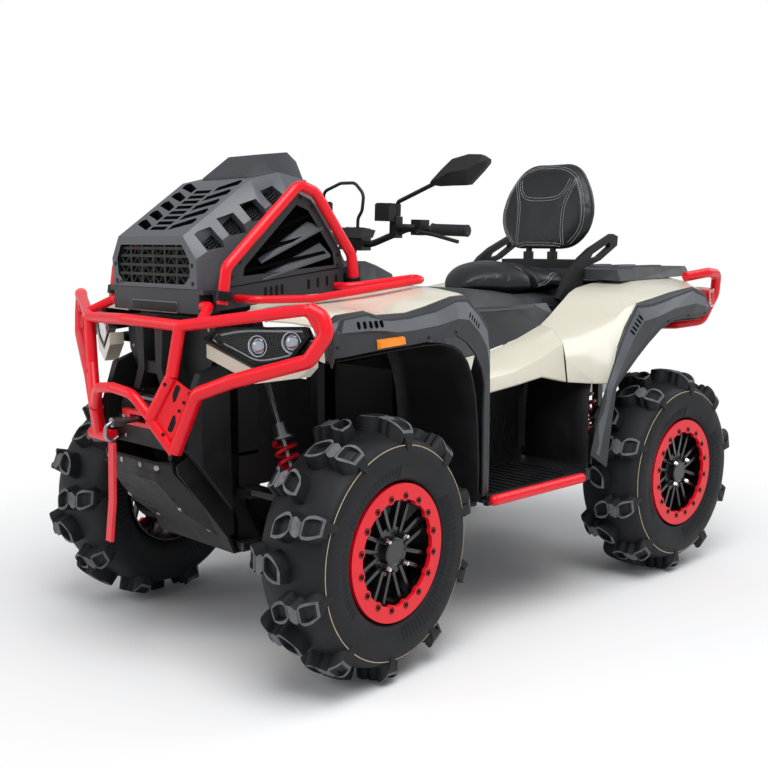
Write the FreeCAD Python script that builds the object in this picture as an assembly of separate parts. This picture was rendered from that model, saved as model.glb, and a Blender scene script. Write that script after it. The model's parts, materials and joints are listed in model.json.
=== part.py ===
import FreeCAD, Part
import math
import os

# Quad bike, millimetres. +X forward, +Y to the rider's left, +Z up.
# The origin is on the ground under the middle of the machine.
V = FreeCAD.Vector
os.makedirs("parts", exist_ok=True)

# Driving dimensions: stance
WHEELBASE = 1500.0
F = WHEELBASE / 2
R = -WHEELBASE / 2
WHEEL_Y = 545.0
REST_STEER = 6.0

# Driving dimensions: tyre and rim
TIP_R = 375.0
CROWN_R = 341.0
TYRE_HALF = 125.0
BEAD_R = 178.0
RING_R = 195.5
RING_BORE_R = 151.0
RING_THICK = 13.0
LUG_PAIRS = 10
LUG_ANGLE = 6.0
HUB_Z = 375.0
RIDE = TIP_R - HUB_Z

# Driving dimensions: steering and axles
KINGPIN_Y = 455.0
PIN_R = 9.0
PIN_CLEAR = 0.3
CV_R = 26.0
BOSS_R = 52.0
BOSS_BORE_R = 36.0
STUB_R = 26.0
SHAFT_R = 14.0
ARM_R = 12.0
EYE_R = 17.0
LOW_BALL_Z = HUB_Z - 80.0
UP_BALL_Z = HUB_Z + 80.0
STEER_ARM = 110.0
TIE_ROD_R = 8.0
TIE_ROD_IN_Y = 75.0
TIE_Z = HUB_Z + 26.0

# Driving dimensions: frame
RAIL_Y = 170.0
RAIL_W = 30.0
RAIL_Z0 = 335.0
RAIL_Z1 = 355.0
TOP_Z0 = 865.0
TOP_Z1 = 895.0
PIVOT_Y = 215.0
LOW_PIVOT_Z = 345.0
UP_PIVOT_Z = 505.0
PIVOT_AHEAD = 160.0
PIVOT_BEHIND = 150.0
SHOCK_X = 40.0
SHOCK_TOP_Y = 150.0
SHOCK_TOP_Z = 828.0
SHOCK_FOOT_Y = 365.0
SPRING_R = 32.0
WIRE_R = 5.0
SPRING_TURNS = 7

# Driving dimensions: bodywork
FLARE_Y = 612.0
BODY_Y = 500.0
SHEET = 5.0
FLARE_SHEET = 8.0
FLOOR_Z = 440.0
TUNNEL_Y = 230.0
SHROUD_Y = 221.0
BUMPER_R = 16.0
LOOP_R = 20.0
HOOP_R = 16.0
RACK_R = 11.0
SIDE_BAR_R = 17.0
SEAT_Y = 190.0
MID_FRONT = 236.0
MID_BACK = -340.0

# Driving dimensions: handlebar
STEM_LEAN = 22.0
STEM_X = 285.0
STEM_Z = 1215.0
STEM_R = 13.0
BAR_R = 11.0
GRIP_R = 17.5
GRIP_END_Y = 420.0
STEM_DIR = V(-math.sin(math.radians(STEM_LEAN)), 0, math.cos(math.radians(STEM_LEAN)))
STEM_TOP = V(F - 750 + STEM_X, 0, STEM_Z)


def block(x0, x1, y0, y1, z0, z1):
    """Box between two corners."""
    return Part.makeBox(x1 - x0, y1 - y0, z1 - z0, V(x0, y0, z0))


def rod(a, b, r):
    """Round bar from a to b."""
    a, b = V(*a), V(*b)
    return Part.makeCylinder(r, (b - a).Length, a, b - a)


def fused(parts):
    """One body of several that touch."""
    parts = list(parts)
    return parts[0].multiFuse(parts[1:]) if len(parts) > 1 else parts[0]


def flip(shape):
    """The same shape on the other side of the machine."""
    return shape.mirror(V(0, 0, 0), V(0, 1, 0))


def pair(shape):
    """Left and right copies."""
    return [shape, flip(shape)]


def mid(x):
    """Place along the middle of the machine, which stretches with the wheelbase; beyond it, with an axle."""
    front, back = MID_FRONT + F - 750, MID_BACK + R + 750
    if x >= MID_FRONT:
        return x + F - 750
    if x <= MID_BACK:
        return x + R + 750
    return back + (x - MID_BACK) * (front - back) / (MID_FRONT - MID_BACK)


def save(name, shapes):
    """Write one node's solids, raised by what the tyre is larger than the heights are given for."""
    solids = [s.translated(V(0, 0, RIDE)) for shape in shapes for s in shape.Solids]
    Part.makeCompound(solids).exportStep("parts/" + name + ".step")


def closed(faces):
    """Closed solid from flat faces, each a list of points."""
    solid = sewn(faces)
    return solid if solid.Volume > 0 else sewn([f[::-1] for f in faces])


def sewn(faces):
    """Faces sewn into a solid, as they are turned."""
    flat = []
    for f in faces:
        pts = [V(*p) for p in f]
        pts = [p for i, p in enumerate(pts) if (p - pts[i - 1]).Length > 1e-6]
        if len(pts) > 2:
            flat.append(Part.Face(Part.makePolygon(pts + [pts[0]])))
    shell = Part.makeShell(flat)
    shell.sewShape(1e-4)
    return Part.makeSolid(Part.Shell(shell.Faces))


def quads(rows, wrap=False):
    """Triangles over a grid of points."""
    out = []
    for a, b in zip(rows, rows[1:]):
        n = len(a)
        for j in range(n if wrap else n - 1):
            k = (j + 1) % n
            out.append([a[j], a[k], b[k]])
            out.append([a[j], b[k], b[j]])
    return out


def sheet(rows, drop):
    """Wall under a grid of points: the grid, a copy moved by drop, and the four edges."""
    return walled(rows, [[tuple(c + d for c, d in zip(p, drop)) for p in row] for row in rows])


def walled(rows, low):
    """Solid between two grids of points."""
    faces = quads(rows) + [f[::-1] for f in quads(low)]
    for top, under in ((rows[0], low[0]), (low[-1], rows[-1])):
        faces += quads([under, top])
    for j in (0, -1):
        edge = [row[j] for row in rows]
        base = [row[j] for row in low]
        faces += quads([edge, base] if j == 0 else [base, edge])
    return closed(faces)


def wall_under(rows, thick, into):
    """Wall of even thickness under a grid of points, on the side that the vector into points to."""
    grid = [[V(*p) for p in row] for row in rows]
    n, m = len(grid), len(grid[0])
    normals = [[V(0, 0, 0) for j in range(m)] for i in range(n)]
    for i in range(n - 1):
        for j in range(m - 1):
            corners = ((i, j), (i, j + 1), (i + 1, j + 1), (i + 1, j))
            a, b, c, d = [grid[p][q] for p, q in corners]
            out = (c - a).cross(d - b).normalize()
            for p, q in corners:
                normals[p][q] = normals[p][q] + out
    total = V(0, 0, 0)
    for row in normals:
        for out in row:
            total = total + out
    side = 1 if total.dot(V(*into)) > 0 else -1
    under = [[tuple(p + out.normalize() * (side * thick)) for p, out in zip(points, outs)]
             for points, outs in zip(grid, normals)]
    return walled(rows, under)


def loft(rings):
    """Solid through closed rings of equally many points, with flat fans at both ends."""
    faces = quads(rings, wrap=True)
    faces += [[rings[0][0], rings[0][i + 1], rings[0][i]] for i in range(1, len(rings[0]) - 1)]
    faces += [[rings[-1][0], rings[-1][i], rings[-1][i + 1]] for i in range(1, len(rings[-1]) - 1)]
    return closed(faces)


def pushed(pts, way):
    """Outline swept straight along a way, its points turned so that the solid faces outwards."""
    face = Part.Face(Part.makePolygon(pts + pts[:1]))
    solid = face.extrude(way)
    if solid.Volume > 0:
        return solid
    pts = pts[::-1]
    return Part.Face(Part.makePolygon(pts + pts[:1])).extrude(way)


def plate_xz(pts, y0, y1):
    """Plate of an X-Z outline between two Y planes."""
    return pushed([V(x, y0, z) for x, z in pts], V(0, y1 - y0, 0))


def plate_yz(pts, x0, x1):
    """Plate of a Y-Z outline between two X planes."""
    return pushed([V(x0, y, z) for y, z in pts], V(x1 - x0, 0, 0))


def plate_xy(pts, z0, z1):
    """Plate of an X-Y outline between two Z planes."""
    return pushed([V(x, y, z0) for x, y in pts], V(0, 0, z1 - z0))


def bent(pts, r, bend):
    """Round tube along straight runs joined by tangent arcs of radius bend or less."""
    p = [V(*q) for q in pts]
    edges = []
    start = p[0]
    for i in range(1, len(p) - 1):
        a = (p[i - 1] - p[i]).normalize()
        b = (p[i + 1] - p[i]).normalize()
        half = a.getAngle(b) / 2
        room = 0.45 * min((p[i - 1] - p[i]).Length, (p[i + 1] - p[i]).Length)
        cut = min(bend / math.tan(half), room)
        radius = cut * math.tan(half)
        t0 = p[i] + a * cut
        t1 = p[i] + b * cut
        mid = (a + b).normalize()
        centre = p[i] + mid * (radius / math.sin(half))
        edges.append(Part.LineSegment(start, t0).toShape())
        edges.append(Part.Arc(t0, centre - mid * radius, t1).toShape())
        start = t1
    edges.append(Part.LineSegment(start, p[-1]).toShape())
    ring = Part.Wire(Part.Circle(p[0], p[1] - p[0], r).toShape())
    pipe = Part.Wire(edges).makePipeShell([ring], True, False)
    if pipe.Volume < 0:
        pipe.reverse()
    return pipe


def ring_x(x, y, z, half, r, bore):
    """Eye with its bore along X."""
    return rod((x - half, y, z), (x + half, y, z), r).cut(rod((x - half - 1, y, z), (x + half + 1, y, z), bore))


def turned(shape, steer):
    """A left front piece turned about its kingpin."""
    s = shape.copy()
    s.rotate(V(F, KINGPIN_Y, 0), V(0, 0, 1), steer)
    return s


def turned_right(shape, steer):
    """A right front piece turned about its kingpin."""
    s = shape.copy()
    s.rotate(V(F, -KINGPIN_Y, 0), V(0, 0, 1), steer)
    return s


# Tyre: a facetted ring whose tread cells stand up as lugs
def tyre_shape():
    """Left tyre about the Y axis at the origin, its outside at +Y.

    Columns alternate between a narrow one that can hold a lug and a wide one that is a gap.
    Lugs of the two sides alternate, so one lug is at the bottom.
    """
    h = TYRE_HALF
    bead = BEAD_R / math.cos(math.radians(90 / LUG_PAIRS - LUG_ANGLE / 2))
    base = [(-h + 25, bead), (-h + 7, BEAD_R + 37), (-h, 262.0), (-h + 13, CROWN_R - 23),
            (-h + 63, CROWN_R - 4), (-14.0, CROWN_R), (14.0, CROWN_R), (h - 63, CROWN_R - 4),
            (h - 13, CROWN_R - 23), (h, 262.0), (h - 7, BEAD_R + 37), (h - 25, RING_R + 3),
            (h - 25, bead)]
    tip = TIP_R / math.cos(math.radians(LUG_ANGLE / 2))
    tall = {3: (-h + 6, tip - 17), 4: (-h + 63, tip), 5: (-14.0, tip),
            6: (14.0, tip), 7: (h - 63, tip), 8: (h - 6, tip - 17)}
    lug_cells = {1: (5, 6, 7), -1: (5, 4, 3)}
    pitch = 180.0 / LUG_PAIRS
    faces = []

    def at(deg, p):
        t = math.radians(deg)
        return (p[1] * math.cos(t), p[0], p[1] * math.sin(t))

    def cell(t0, t1, p, q):
        faces.append([at(t0, p), at(t0, q), at(t1, q), at(t1, p)])

    for k in range(2 * LUG_PAIRS):
        side = 1 if k % 2 == 0 else -1
        mid = -90 + k * pitch
        t0, t1 = mid - LUG_ANGLE / 2, mid + LUG_ANGLE / 2
        t2 = t0 + pitch
        cells = lug_cells[side]
        taper = 8 if side == 1 else 2
        for j in range(len(base) - 1):
            cell(t1, t2, base[j], base[j + 1])
            if j in cells:
                cell(t0, t1, tall[j], tall[j + 1])
                for t, order in ((t0, 1), (t1, -1)):
                    wall = [at(t, base[j]), at(t, base[j + 1]), at(t, tall[j + 1]), at(t, tall[j])]
                    faces.append(wall[::order])
            elif j == taper:
                hi = tall[8] if side == 1 else tall[3]
                lo = base[9] if side == 1 else base[2]
                foot = base[8] if side == 1 else base[3]
                cell(t0, t1, hi, lo) if side == 1 else cell(t0, t1, lo, hi)
                for t, order in ((t0, 1), (t1, -1)):
                    wall = [at(t, foot), at(t, lo), at(t, hi)]
                    faces.append(wall[::order * side])
            else:
                cell(t0, t1, base[j], base[j + 1])
        end = 5 if side == 1 else 6
        faces.append([at(t0, base[end]), at(t1, base[end]), at(t1, tall[end]), at(t0, tall[end])][::side])
        for a, b in ((t0, t1), (t1, t2)):
            faces.append([at(a, base[-1]), at(a, base[0]), at(b, base[0]), at(b, base[-1])])
    return closed(faces)


def rim_shape():
    """Left rim about the Y axis: barrel, hub, eight pairs of spokes and a centre cap."""
    half = TYRE_HALF - 15
    outer = Part.makeCylinder(BEAD_R - 0.3, 2 * half - 10, V(0, -half, 0), V(0, 1, 0))
    bore = Part.makeCylinder(BEAD_R - 6, 2 * half + 2, V(0, -half - 1, 0), V(0, 1, 0))
    parts = [outer.cut(bore)]
    parts.append(rod((0, KINGPIN_Y + 34 - WHEEL_Y, 0), (0, 20, 0), STUB_R))
    parts.append(rod((0, -32, 0), (0, 96, 0), 41.5))
    parts.append(rod((0, -30, 0), (0, -25, 0), 110.0))
    parts.append(rod((0, 60, 0), (0, 84, 0), 70.0))
    for k in range(8):
        for side in (-1, 1):
            inner = math.radians(45 * k + 7 * side)
            edge = math.radians(45 * k + 15 * side)
            a = V(60 * math.cos(inner), 66, 60 * math.sin(inner))
            b = V(174 * math.cos(edge), 76, 174 * math.sin(edge))
            d = b - a
            bar = Part.makeBox(d.Length, 22, 11, V(0, 0, -5.5))
            bar.rotate(V(0, 0, 0), V(0, 1, 0), -math.degrees(math.atan2(d.z, d.x)))
            bar.translate(V(a.x, a.y, a.z))
            parts.append(bar)
    for k in range(4):
        t = math.radians(90 * k + 45)
        x, z = 55 * math.cos(t), 55 * math.sin(t)
        parts.append(rod((x, 80, z), (x, 104, z), 9.5))
    return fused(parts)


def ring_shape():
    """Left clamp ring about the Y axis with sixteen shallow lobes on its inner edge."""
    y0 = TYRE_HALF - 25 + 0.3
    body = rod((0, y0, 0), (0, y0 + RING_THICK, 0), RING_R)
    hole = rod((0, y0 - 1, 0), (0, y0 + RING_THICK + 1, 0), RING_BORE_R)
    body = body.cut(hole)
    lobes = []
    for k in range(16):
        t = math.radians(22.5 * k + 11.25)
        x, z = (RING_BORE_R + 9) * math.cos(t), (RING_BORE_R + 9) * math.sin(t)
        lobes.append(rod((x, y0, z), (x, y0 + RING_THICK, z), 15.0))
    return fused([body] + lobes)


def make_wheels():
    """Four tyres, rims and clamp rings; the front ones turned by the steering at rest."""
    shapes = {"tyre": tyre_shape(), "rim": Part.makeCompound([rim_shape(), ring_shape()])}
    for name, shape in shapes.items():
        left = shape.copy()
        left.translate(V(0, WHEEL_Y, HUB_Z))
        right = flip(left)
        for end, x in (("front", F), ("rear", R)):
            a, b = left.copy(), right.copy()
            a.translate(V(x, 0, 0))
            b.translate(V(x, 0, 0))
            if end == "front":
                a, b = turned(a, REST_STEER), turned_right(b, REST_STEER)
            save(name + "_" + end + "_left", [a])
            save(name + "_" + end + "_right", [b])


def carrier(x):
    """Left hub carrier: bored boss with a pin above and below, axis at the wheel's axis."""
    boss = rod((x, KINGPIN_Y - 15, HUB_Z), (x, KINGPIN_Y + 45, HUB_Z), BOSS_R)
    posts = [rod((x, KINGPIN_Y, LOW_BALL_Z + 16), (x, KINGPIN_Y, UP_BALL_Z - 16), 16),
             rod((x, KINGPIN_Y, LOW_BALL_Z - 11), (x, KINGPIN_Y, UP_BALL_Z + 11), PIN_R)]
    body = fused([boss] + posts)
    cavity = rod((x, KINGPIN_Y - 16, HUB_Z), (x, KINGPIN_Y + 31, HUB_Z), BOSS_BORE_R)
    bearing = rod((x, KINGPIN_Y + 30, HUB_Z), (x, KINGPIN_Y + 46, HUB_Z), STUB_R + PIN_CLEAR)
    return body.cut(cavity).cut(bearing)


def caliper(x, side):
    """Brake caliper round the disc's edge, joined to the carrier's boss."""
    y0 = WHEEL_Y - 30 - 18
    y1 = WHEEL_Y - 25 + 18
    body = block(x + side * 78 - 18, x + side * 78 + 44 - 18, y0, y1, HUB_Z + 10, HUB_Z + 80)
    slot = rod((x, WHEEL_Y - 30 - 5, HUB_Z), (x, WHEEL_Y - 25 + 5, HUB_Z), 117.0)
    link = block(x + min(0, side * 80), x + max(0, side * 80), y0 - 10, y0 + 6, HUB_Z + 30, HUB_Z + 50)
    hollow = rod((x, y0 - 20, HUB_Z), (x, y0 + 20, HUB_Z), BOSS_R - 8)
    return fused([body.cut(slot), link.cut(hollow)])


def make_knuckles():
    """Front knuckles with steering arms, and their tie rods."""
    tip_x, tip_y = F - STEER_ARM, KINGPIN_Y - 15
    arm = block(tip_x - 14, F - BOSS_R + 12, tip_y - 12, tip_y + 12, TIE_Z - 26, TIE_Z - 14)
    stud = rod((tip_x, tip_y, TIE_Z - 14), (tip_x, tip_y, TIE_Z + 12), 7)
    hollow = rod((F, KINGPIN_Y - 40, HUB_Z), (F, KINGPIN_Y + 30, HUB_Z), BOSS_BORE_R)
    left = fused([carrier(F), caliper(F, 1), arm.cut(hollow), stud])
    save("knuckle_left", [turned(left, REST_STEER)])
    save("knuckle_right", [turned_right(flip(left), REST_STEER)])
    eye = rod((tip_x, tip_y, TIE_Z - 12), (tip_x, tip_y, TIE_Z + 12), 15)
    bar = rod((tip_x, TIE_ROD_IN_Y, TIE_Z), (tip_x, tip_y - 10, TIE_Z), TIE_ROD_R)
    ball = Part.makeSphere(13, V(tip_x, TIE_ROD_IN_Y, TIE_Z))
    bore = rod((tip_x, tip_y, TIE_Z - 13), (tip_x, tip_y, TIE_Z + 13), 7 + PIN_CLEAR)
    rod_left = fused([eye, bar, ball]).cut(bore)
    a = math.radians(REST_STEER)
    for name, s, shape in (("left", 1, rod_left), ("right", -1, flip(rod_left))):
        dx, dy = -STEER_ARM, -15 * s
        moved = shape.copy()
        moved.translate(V(dx * math.cos(a) - dy * math.sin(a) - dx,
                          dx * math.sin(a) + dy * math.cos(a) - dy, 0))
        save("tie_rod_" + name, [moved])


def arm_z(y, inner_z, ball_z):
    """Height of an arm's middle line at y."""
    return inner_z + (ball_z - inner_z) * (y - PIVOT_Y) / (KINGPIN_Y - PIVOT_Y)


def wishbone(x, inner_z, ball_z, lower):
    """Left A-arm of the axle at x: two legs, a ring at the kingpin, sleeves at the frame."""
    ends = (x + PIVOT_AHEAD, x - PIVOT_BEHIND)
    ring = rod((x, KINGPIN_Y, ball_z - 11), (x, KINGPIN_Y, ball_z + 11), EYE_R + 4)
    solids = [ring]
    for e in ends:
        solids.append(rod((e, PIVOT_Y, inner_z), (x + (e - x) * 0.03, KINGPIN_Y - 6, ball_z), ARM_R))
        solids.append(rod((e - 25, PIVOT_Y, inner_z), (e + 25, PIVOT_Y, inner_z), EYE_R))
    if lower:
        share = (KINGPIN_Y - SHOCK_FOOT_Y) / (KINGPIN_Y - PIVOT_Y)
        z = arm_z(SHOCK_FOOT_Y, inner_z, ball_z)
        front = x + PIVOT_AHEAD * share
        rear = x - PIVOT_BEHIND * share
        solids.append(rod((rear, SHOCK_FOOT_Y, z), (front + 4, SHOCK_FOOT_Y, z), ARM_R - 1))
        eye_z = z + 36
        for s in (-1, 1):
            c = x + SHOCK_X + s * 18
            solids.append(block(c - 3, c + 3, SHOCK_FOOT_Y - 14, SHOCK_FOOT_Y + 14, z - 4, eye_z + 12))
        solids.append(rod((x + SHOCK_X - 21, SHOCK_FOOT_Y, eye_z), (x + SHOCK_X + 21, SHOCK_FOOT_Y, eye_z), 7))
    body = fused(solids)
    tools = [rod((x, KINGPIN_Y, ball_z - 30), (x, KINGPIN_Y, ball_z + 30), PIN_R + PIN_CLEAR)]
    tools += [rod((e - 30, PIVOT_Y, inner_z), (e + 30, PIVOT_Y, inner_z), 8 + PIN_CLEAR) for e in ends]
    return body.cut(fused(tools))


def shock_axis(x):
    """Foot and head of the left shock."""
    foot_z = arm_z(SHOCK_FOOT_Y, LOW_PIVOT_Z, LOW_BALL_Z) + 36
    return V(x + SHOCK_X, SHOCK_FOOT_Y, foot_z), V(x + SHOCK_X, SHOCK_TOP_Y, SHOCK_TOP_Z)


def along(a, b, s, t, r):
    """Round bar over part of the line from a to b, given by distances from a."""
    d = (b - a).normalize()
    return Part.makeCylinder(r, t - s, a + d * s, d)


def shock_body(x):
    """Left shock: eyes, body tube, rod, two spring seats."""
    foot, head = shock_axis(x)
    length = (head - foot).Length
    parts = [along(foot, head, 12, 60, 13), along(foot, head, 40, 150, 17), along(foot, head, 140, length - 12, 8),
             along(foot, head, 58, 66, SPRING_R + 2), along(foot, head, length - 200, length - 192, SPRING_R + 2),
             along(foot, head, length - 198, length - 150, 19)]
    for p in (foot, head):
        parts.append(rod((p.x - 14, p.y, p.z), (p.x + 14, p.y, p.z), EYE_R))
    body = fused(parts)
    holes = [rod((p.x - 20, p.y, p.z), (p.x + 20, p.y, p.z), 7 + PIN_CLEAR) for p in (foot, head)]
    return body.cut(fused(holes))


def shock_spring(x):
    """Left spring: a six-sided wire wound round the shock between its two seats."""
    foot, head = shock_axis(x)
    length = (head - foot).Length
    low, high = 66.3 + WIRE_R, length - 200.3 - WIRE_R
    d = (head - foot).normalize()
    side = V(1, 0, 0)
    other = d.cross(side).normalize()
    rings = []
    steps = SPRING_TURNS * 14
    for i in range(steps + 1):
        t = 2 * math.pi * SPRING_TURNS * i / steps
        out = side * math.cos(t) + other * math.sin(t)
        mid = foot + d * (low + (high - low) * i / steps) + out * (SPRING_R - WIRE_R)
        ring = []
        for k in range(6):
            u = math.pi / 3 * k
            q = mid + out * (WIRE_R * math.cos(u)) + d * (WIRE_R * math.sin(u))
            ring.append((q.x, q.y, q.z))
        rings.append(ring)
    return loft(rings)


def make_suspension():
    """Arms, hub carriers, shocks and drive shafts of both axles."""
    arms = []
    for x in (F, R):
        arms += [wishbone(x, LOW_PIVOT_Z, LOW_BALL_Z, True), wishbone(x, UP_PIVOT_Z, UP_BALL_Z, False)]
    save("suspension_arms", [s for a in arms for s in pair(a)])
    save("rear_hub_carriers", pair(fused([carrier(R), caliper(R, 1)])))
    save("shock_bodies", [s for x in (F, R) for s in pair(shock_body(x))])
    save("shock_springs", [s for x in (F, R) for s in pair(shock_spring(x))])
    shafts = []
    for x in (F, R):
        shaft = fused([rod((x, DRIVE_Y, HUB_Z), (x, KINGPIN_Y, HUB_Z), SHAFT_R),
                       rod((x, DRIVE_Y, HUB_Z), (x, DRIVE_Y + 34, HUB_Z), 33),
                       Part.makeSphere(CV_R, V(x, KINGPIN_Y, HUB_Z))])
        shafts += pair(shaft)
    save("half_shafts", shafts)
    blocks = [block(x - DRIVE_BEHIND, x + DRIVE_AHEAD, -DRIVE_Y, DRIVE_Y, RAIL_Z1, HUB_Z + 75) for x in (F, R)]
    blocks.append(block(ENGINE_X[0], ENGINE_X[1], -ENGINE_Y, ENGINE_Y, RAIL_Z1, ENGINE_TOP))
    save("engine_and_drives", blocks)


DRIVE_Y = 110.0
DRIVE_BEHIND = 60.0
DRIVE_AHEAD = 80.0
ENGINE_X = (mid(-230.0), mid(250.0))
ENGINE_Y = 145.0
ENGINE_TOP = 800.0


def bracket(x, y, z, to_y, pin_r, half):
    """Two cheeks and a pin for an eye at (x, y, z), reaching back to the plane y = to_y."""
    y0, y1 = min(y, to_y), max(y, to_y)
    parts = []
    for s in (-1, 1):
        c = x + s * (half + 3.5)
        parts.append(block(c - 3, c + 3, y0 - 2 if y0 == y else y0, y1 + 14, z - 10, z + 13))
    parts.append(rod((x - half - 6.5, y, z), (x + half + 6.5, y, z), pin_r))
    return parts


def make_frame():
    """Welded chassis: bottom and top rails, posts, cross members and brackets."""
    y0, y1 = RAIL_Y - RAIL_W / 2, RAIL_Y + RAIL_W / 2
    nose, tail = F + 255, R - 330
    half = []
    half.append(block(R - 190, F + 135, y0, y1, RAIL_Z0, RAIL_Z1))
    half.append(block(tail, nose, y0, y1, TOP_Z0, TOP_Z1))
    for x in (F + PIVOT_AHEAD, F - PIVOT_BEHIND, R + PIVOT_AHEAD, R - PIVOT_BEHIND):
        half.append(block(x - 15, x + 15, y0, y1, RAIL_Z0, TOP_Z1))
        half += bracket(x, PIVOT_Y, LOW_PIVOT_Z, y1 - 14, 8, 25)
        half += bracket(x, PIVOT_Y, UP_PIVOT_Z, y1 - 14, 8, 25)
    half.append(block(nose - 30, nose, y0, y1, 600, 1030.7))
    half.append(plate_xz([(F + 90, RAIL_Z0), (F + 135, RAIL_Z0), (F + 170, 400), (nose, 600), (nose - 30, 620), (F + 140, 440)],
                         y0, y1))
    half.append(block(tail, tail + 30, y0, y1, 780, 1062))
    half.append(block(R + 60, R + 90, y0, y1, TOP_Z1, 1062))
    for x in (F + SHOCK_X, R + SHOCK_X):
        for s in (-1, 1):
            c = x + s * 18.5
            half.append(block(c - 3, c + 3, SHOCK_TOP_Y - 15, SHOCK_TOP_Y + 15, SHOCK_TOP_Z - 14, TOP_Z0))
        half.append(rod((x - 21, SHOCK_TOP_Y, SHOCK_TOP_Z), (x + 21, SHOCK_TOP_Y, SHOCK_TOP_Z), 7))
    save("frame_left", [fused(half)])
    save("frame_right", [flip(fused(half))])
    feet = [fused([block(x - 12, x + 12, y1 - 5, 560, 405, FLOOR_Z - 8.3),
                   block(x - 12, x + 12, y0, y1, RAIL_Z1, FLOOR_Z - 8.3)]) for x in (mid(-150), mid(150))]
    save("footwell_supports", [s for f in feet for s in pair(f)])
    whole = []
    for x in (F + 60, R + 60, ENGINE_X[0] + 40, ENGINE_X[1] - 40):
        whole.append(block(x - 20, x + 20, -y0, y0, RAIL_Z0, RAIL_Z1))
    for x in (F + SHOCK_X, R + SHOCK_X, F - PIVOT_BEHIND, R + PIVOT_AHEAD):
        whole.append(block(x - 25, x + 25, -y0, y0, TOP_Z0, TOP_Z1))
    stem = STEM_TOP - STEM_DIR * ((STEM_Z - TOP_Z1 + 15) / math.cos(math.radians(STEM_LEAN)))
    bearing = Part.makeCylinder(26, 44, stem - STEM_DIR * 22, STEM_DIR)
    beam = block(stem.x - 22, stem.x + 22, -y0, y0, TOP_Z0, TOP_Z1)
    bore = Part.makeCylinder(STEM_R + PIN_CLEAR, 120, stem - STEM_DIR * 60, STEM_DIR)
    whole.append(fused([bearing, beam]).cut(bore))
    for z in (620, 1000):
        whole.append(block(nose - 30, nose, -y0, y0, z, z + 30))
    for z in (790, 1030):
        whole.append(block(tail, tail + 30, -y0, y0, z, z + 30))
    save("frame_cross_members", whole)
    save("receiver", [hitch_shape().cut(hitch_bore())])


def hitch_shape():
    """Rear receiver: a square tube under the tail, on a drop plate from the frame."""
    x0 = R - 375
    half = RECEIVER_BORE / 2 + RECEIVER_WALL
    tube = block(x0, R - 190, -half, half, HITCH_Z - half, HITCH_Z + half)
    arm = plate_xz([(R - 190, RAIL_Z0), (R - 190, RAIL_Z1), (R - 215, HITCH_Z + half),
                    (R - 260, HITCH_Z + half), (R - 260, HITCH_Z - half)], -20, 20)
    cross = block(R - 215, R - 190, -RAIL_Y - RAIL_W / 2, RAIL_Y + RAIL_W / 2, RAIL_Z0, RAIL_Z1)
    return fused([tube, arm, cross])


def hitch_bore():
    """Square socket of the receiver."""
    half = RECEIVER_BORE / 2
    return block(R - 376, R - 265, -half, half, HITCH_Z - half, HITCH_Z + half)


RECEIVER_WALL = 5.0
RECEIVER_BORE = 50.8
HITCH_Z = 400.0


# Front end
def make_skid():
    """Belly plate and the front bash plate that rises from it."""
    w = 195.0
    belly = block(R - 180, F + 140.7, -w, w, RAIL_Z0 - 6, RAIL_Z0)
    rows = []
    for y in (-w, -w + 50, w - 50, w):
        edge = abs(y) == w
        up = 26 if edge else 0
        back = 30 if edge else 0
        rows.append([(F + 110, y, RAIL_Z0 - 13.3), (F + 202, y, RAIL_Z0 - 13.3), (F + 224, y, 374), (F + 330 - back, y, 452 + up),
                     (F + 415 - back, y * 0.86, 560 + up), (F + 418 - back, y * 0.86, 610)])
    bash = sheet(rows, (-9, 0, 7))
    ears = []
    for y in (-w, w):
        s = 1 if y > 0 else -1
        ear = [(F + 215, 380), (F + 300, 478), (F + 385, 586), (F + 388, 610), (F + 300, 655), (F + 235, 660),
               (F + 200, 560), (F + 200, 380)]
        ears.append(plate_xz(ear, min(y, y - s * 8), max(y, y - s * 8)))
    save("skid_plate", [belly] + [fused([bash] + ears)])


def make_fascia():
    """Nose panel between the headlights with its raised spine, and the panel below it."""
    top = [(-235, 1010), (-120, 1020), (120, 1020), (235, 1010), (222, 905), (150, 800), (150, 700),
           (-150, 700), (-150, 800), (-222, 905)]
    nose = plate_yz(top, F + 255.3, F + 275)
    spine = []
    for y in (-1, 1):
        spine.append(plate_yz([(y * 30, 1005), (y * 75, 1005), (y * 62, 870), (y * 95, 800),
                               (y * 62, 800), (y * 30, 860)][::y], F + 270, F + 345))
    bar = block(F + 270, F + 335, -62, 62, 850, 885)
    low = plate_yz([(-150, 700), (150, 700), (150, 640), (-150, 640)], F + 262, F + 372)
    whole = fused([nose, bar, low] + spine)
    feet = fused(pair(rod((F + 420, FOOT_Y, FOOT_Z), (F + 240, FOOT_Y, FOOT_Z), FOOT_R + 1)))
    whole = whole.cut(feet)
    cheek = loft([[(F + 235, 226, 470), (F + 235, 240, 470), (F + 235, 240, 900), (F + 235, 226, 900)],
                  [(F + 330, 206, 600), (F + 330, 236, 600), (F + 330, 236, 868), (F + 330, 206, 868)],
                  [(F + 373, 202, 655), (F + 373, 226, 655), (F + 373, 226, 760), (F + 373, 202, 760)]])
    save("front_fascia", [whole] + pair(cheek))


def lamp_ring(grow, x_back):
    """Outline of the left headlight, six corners, on the swept-back plane."""
    pts = [(250, 968), (300, 1000), (542, 1010), (554, 985), (505, 925), (395, 896)]
    cy = sum(p[0] for p in pts) / len(pts)
    cz = sum(p[1] for p in pts) / len(pts)
    out = []
    for y, z in pts:
        yy = cy + (y - cy) * grow
        zz = cz + (z - cz) * grow
        out.append((F + 435 - LAMP_SWEEP * yy - x_back, yy, zz))
    return out


LAMP_SWEEP = 0.42
FOOT_Y = 170.0
FOOT_Z = 652.0
FOOT_R = 14.0


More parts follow.
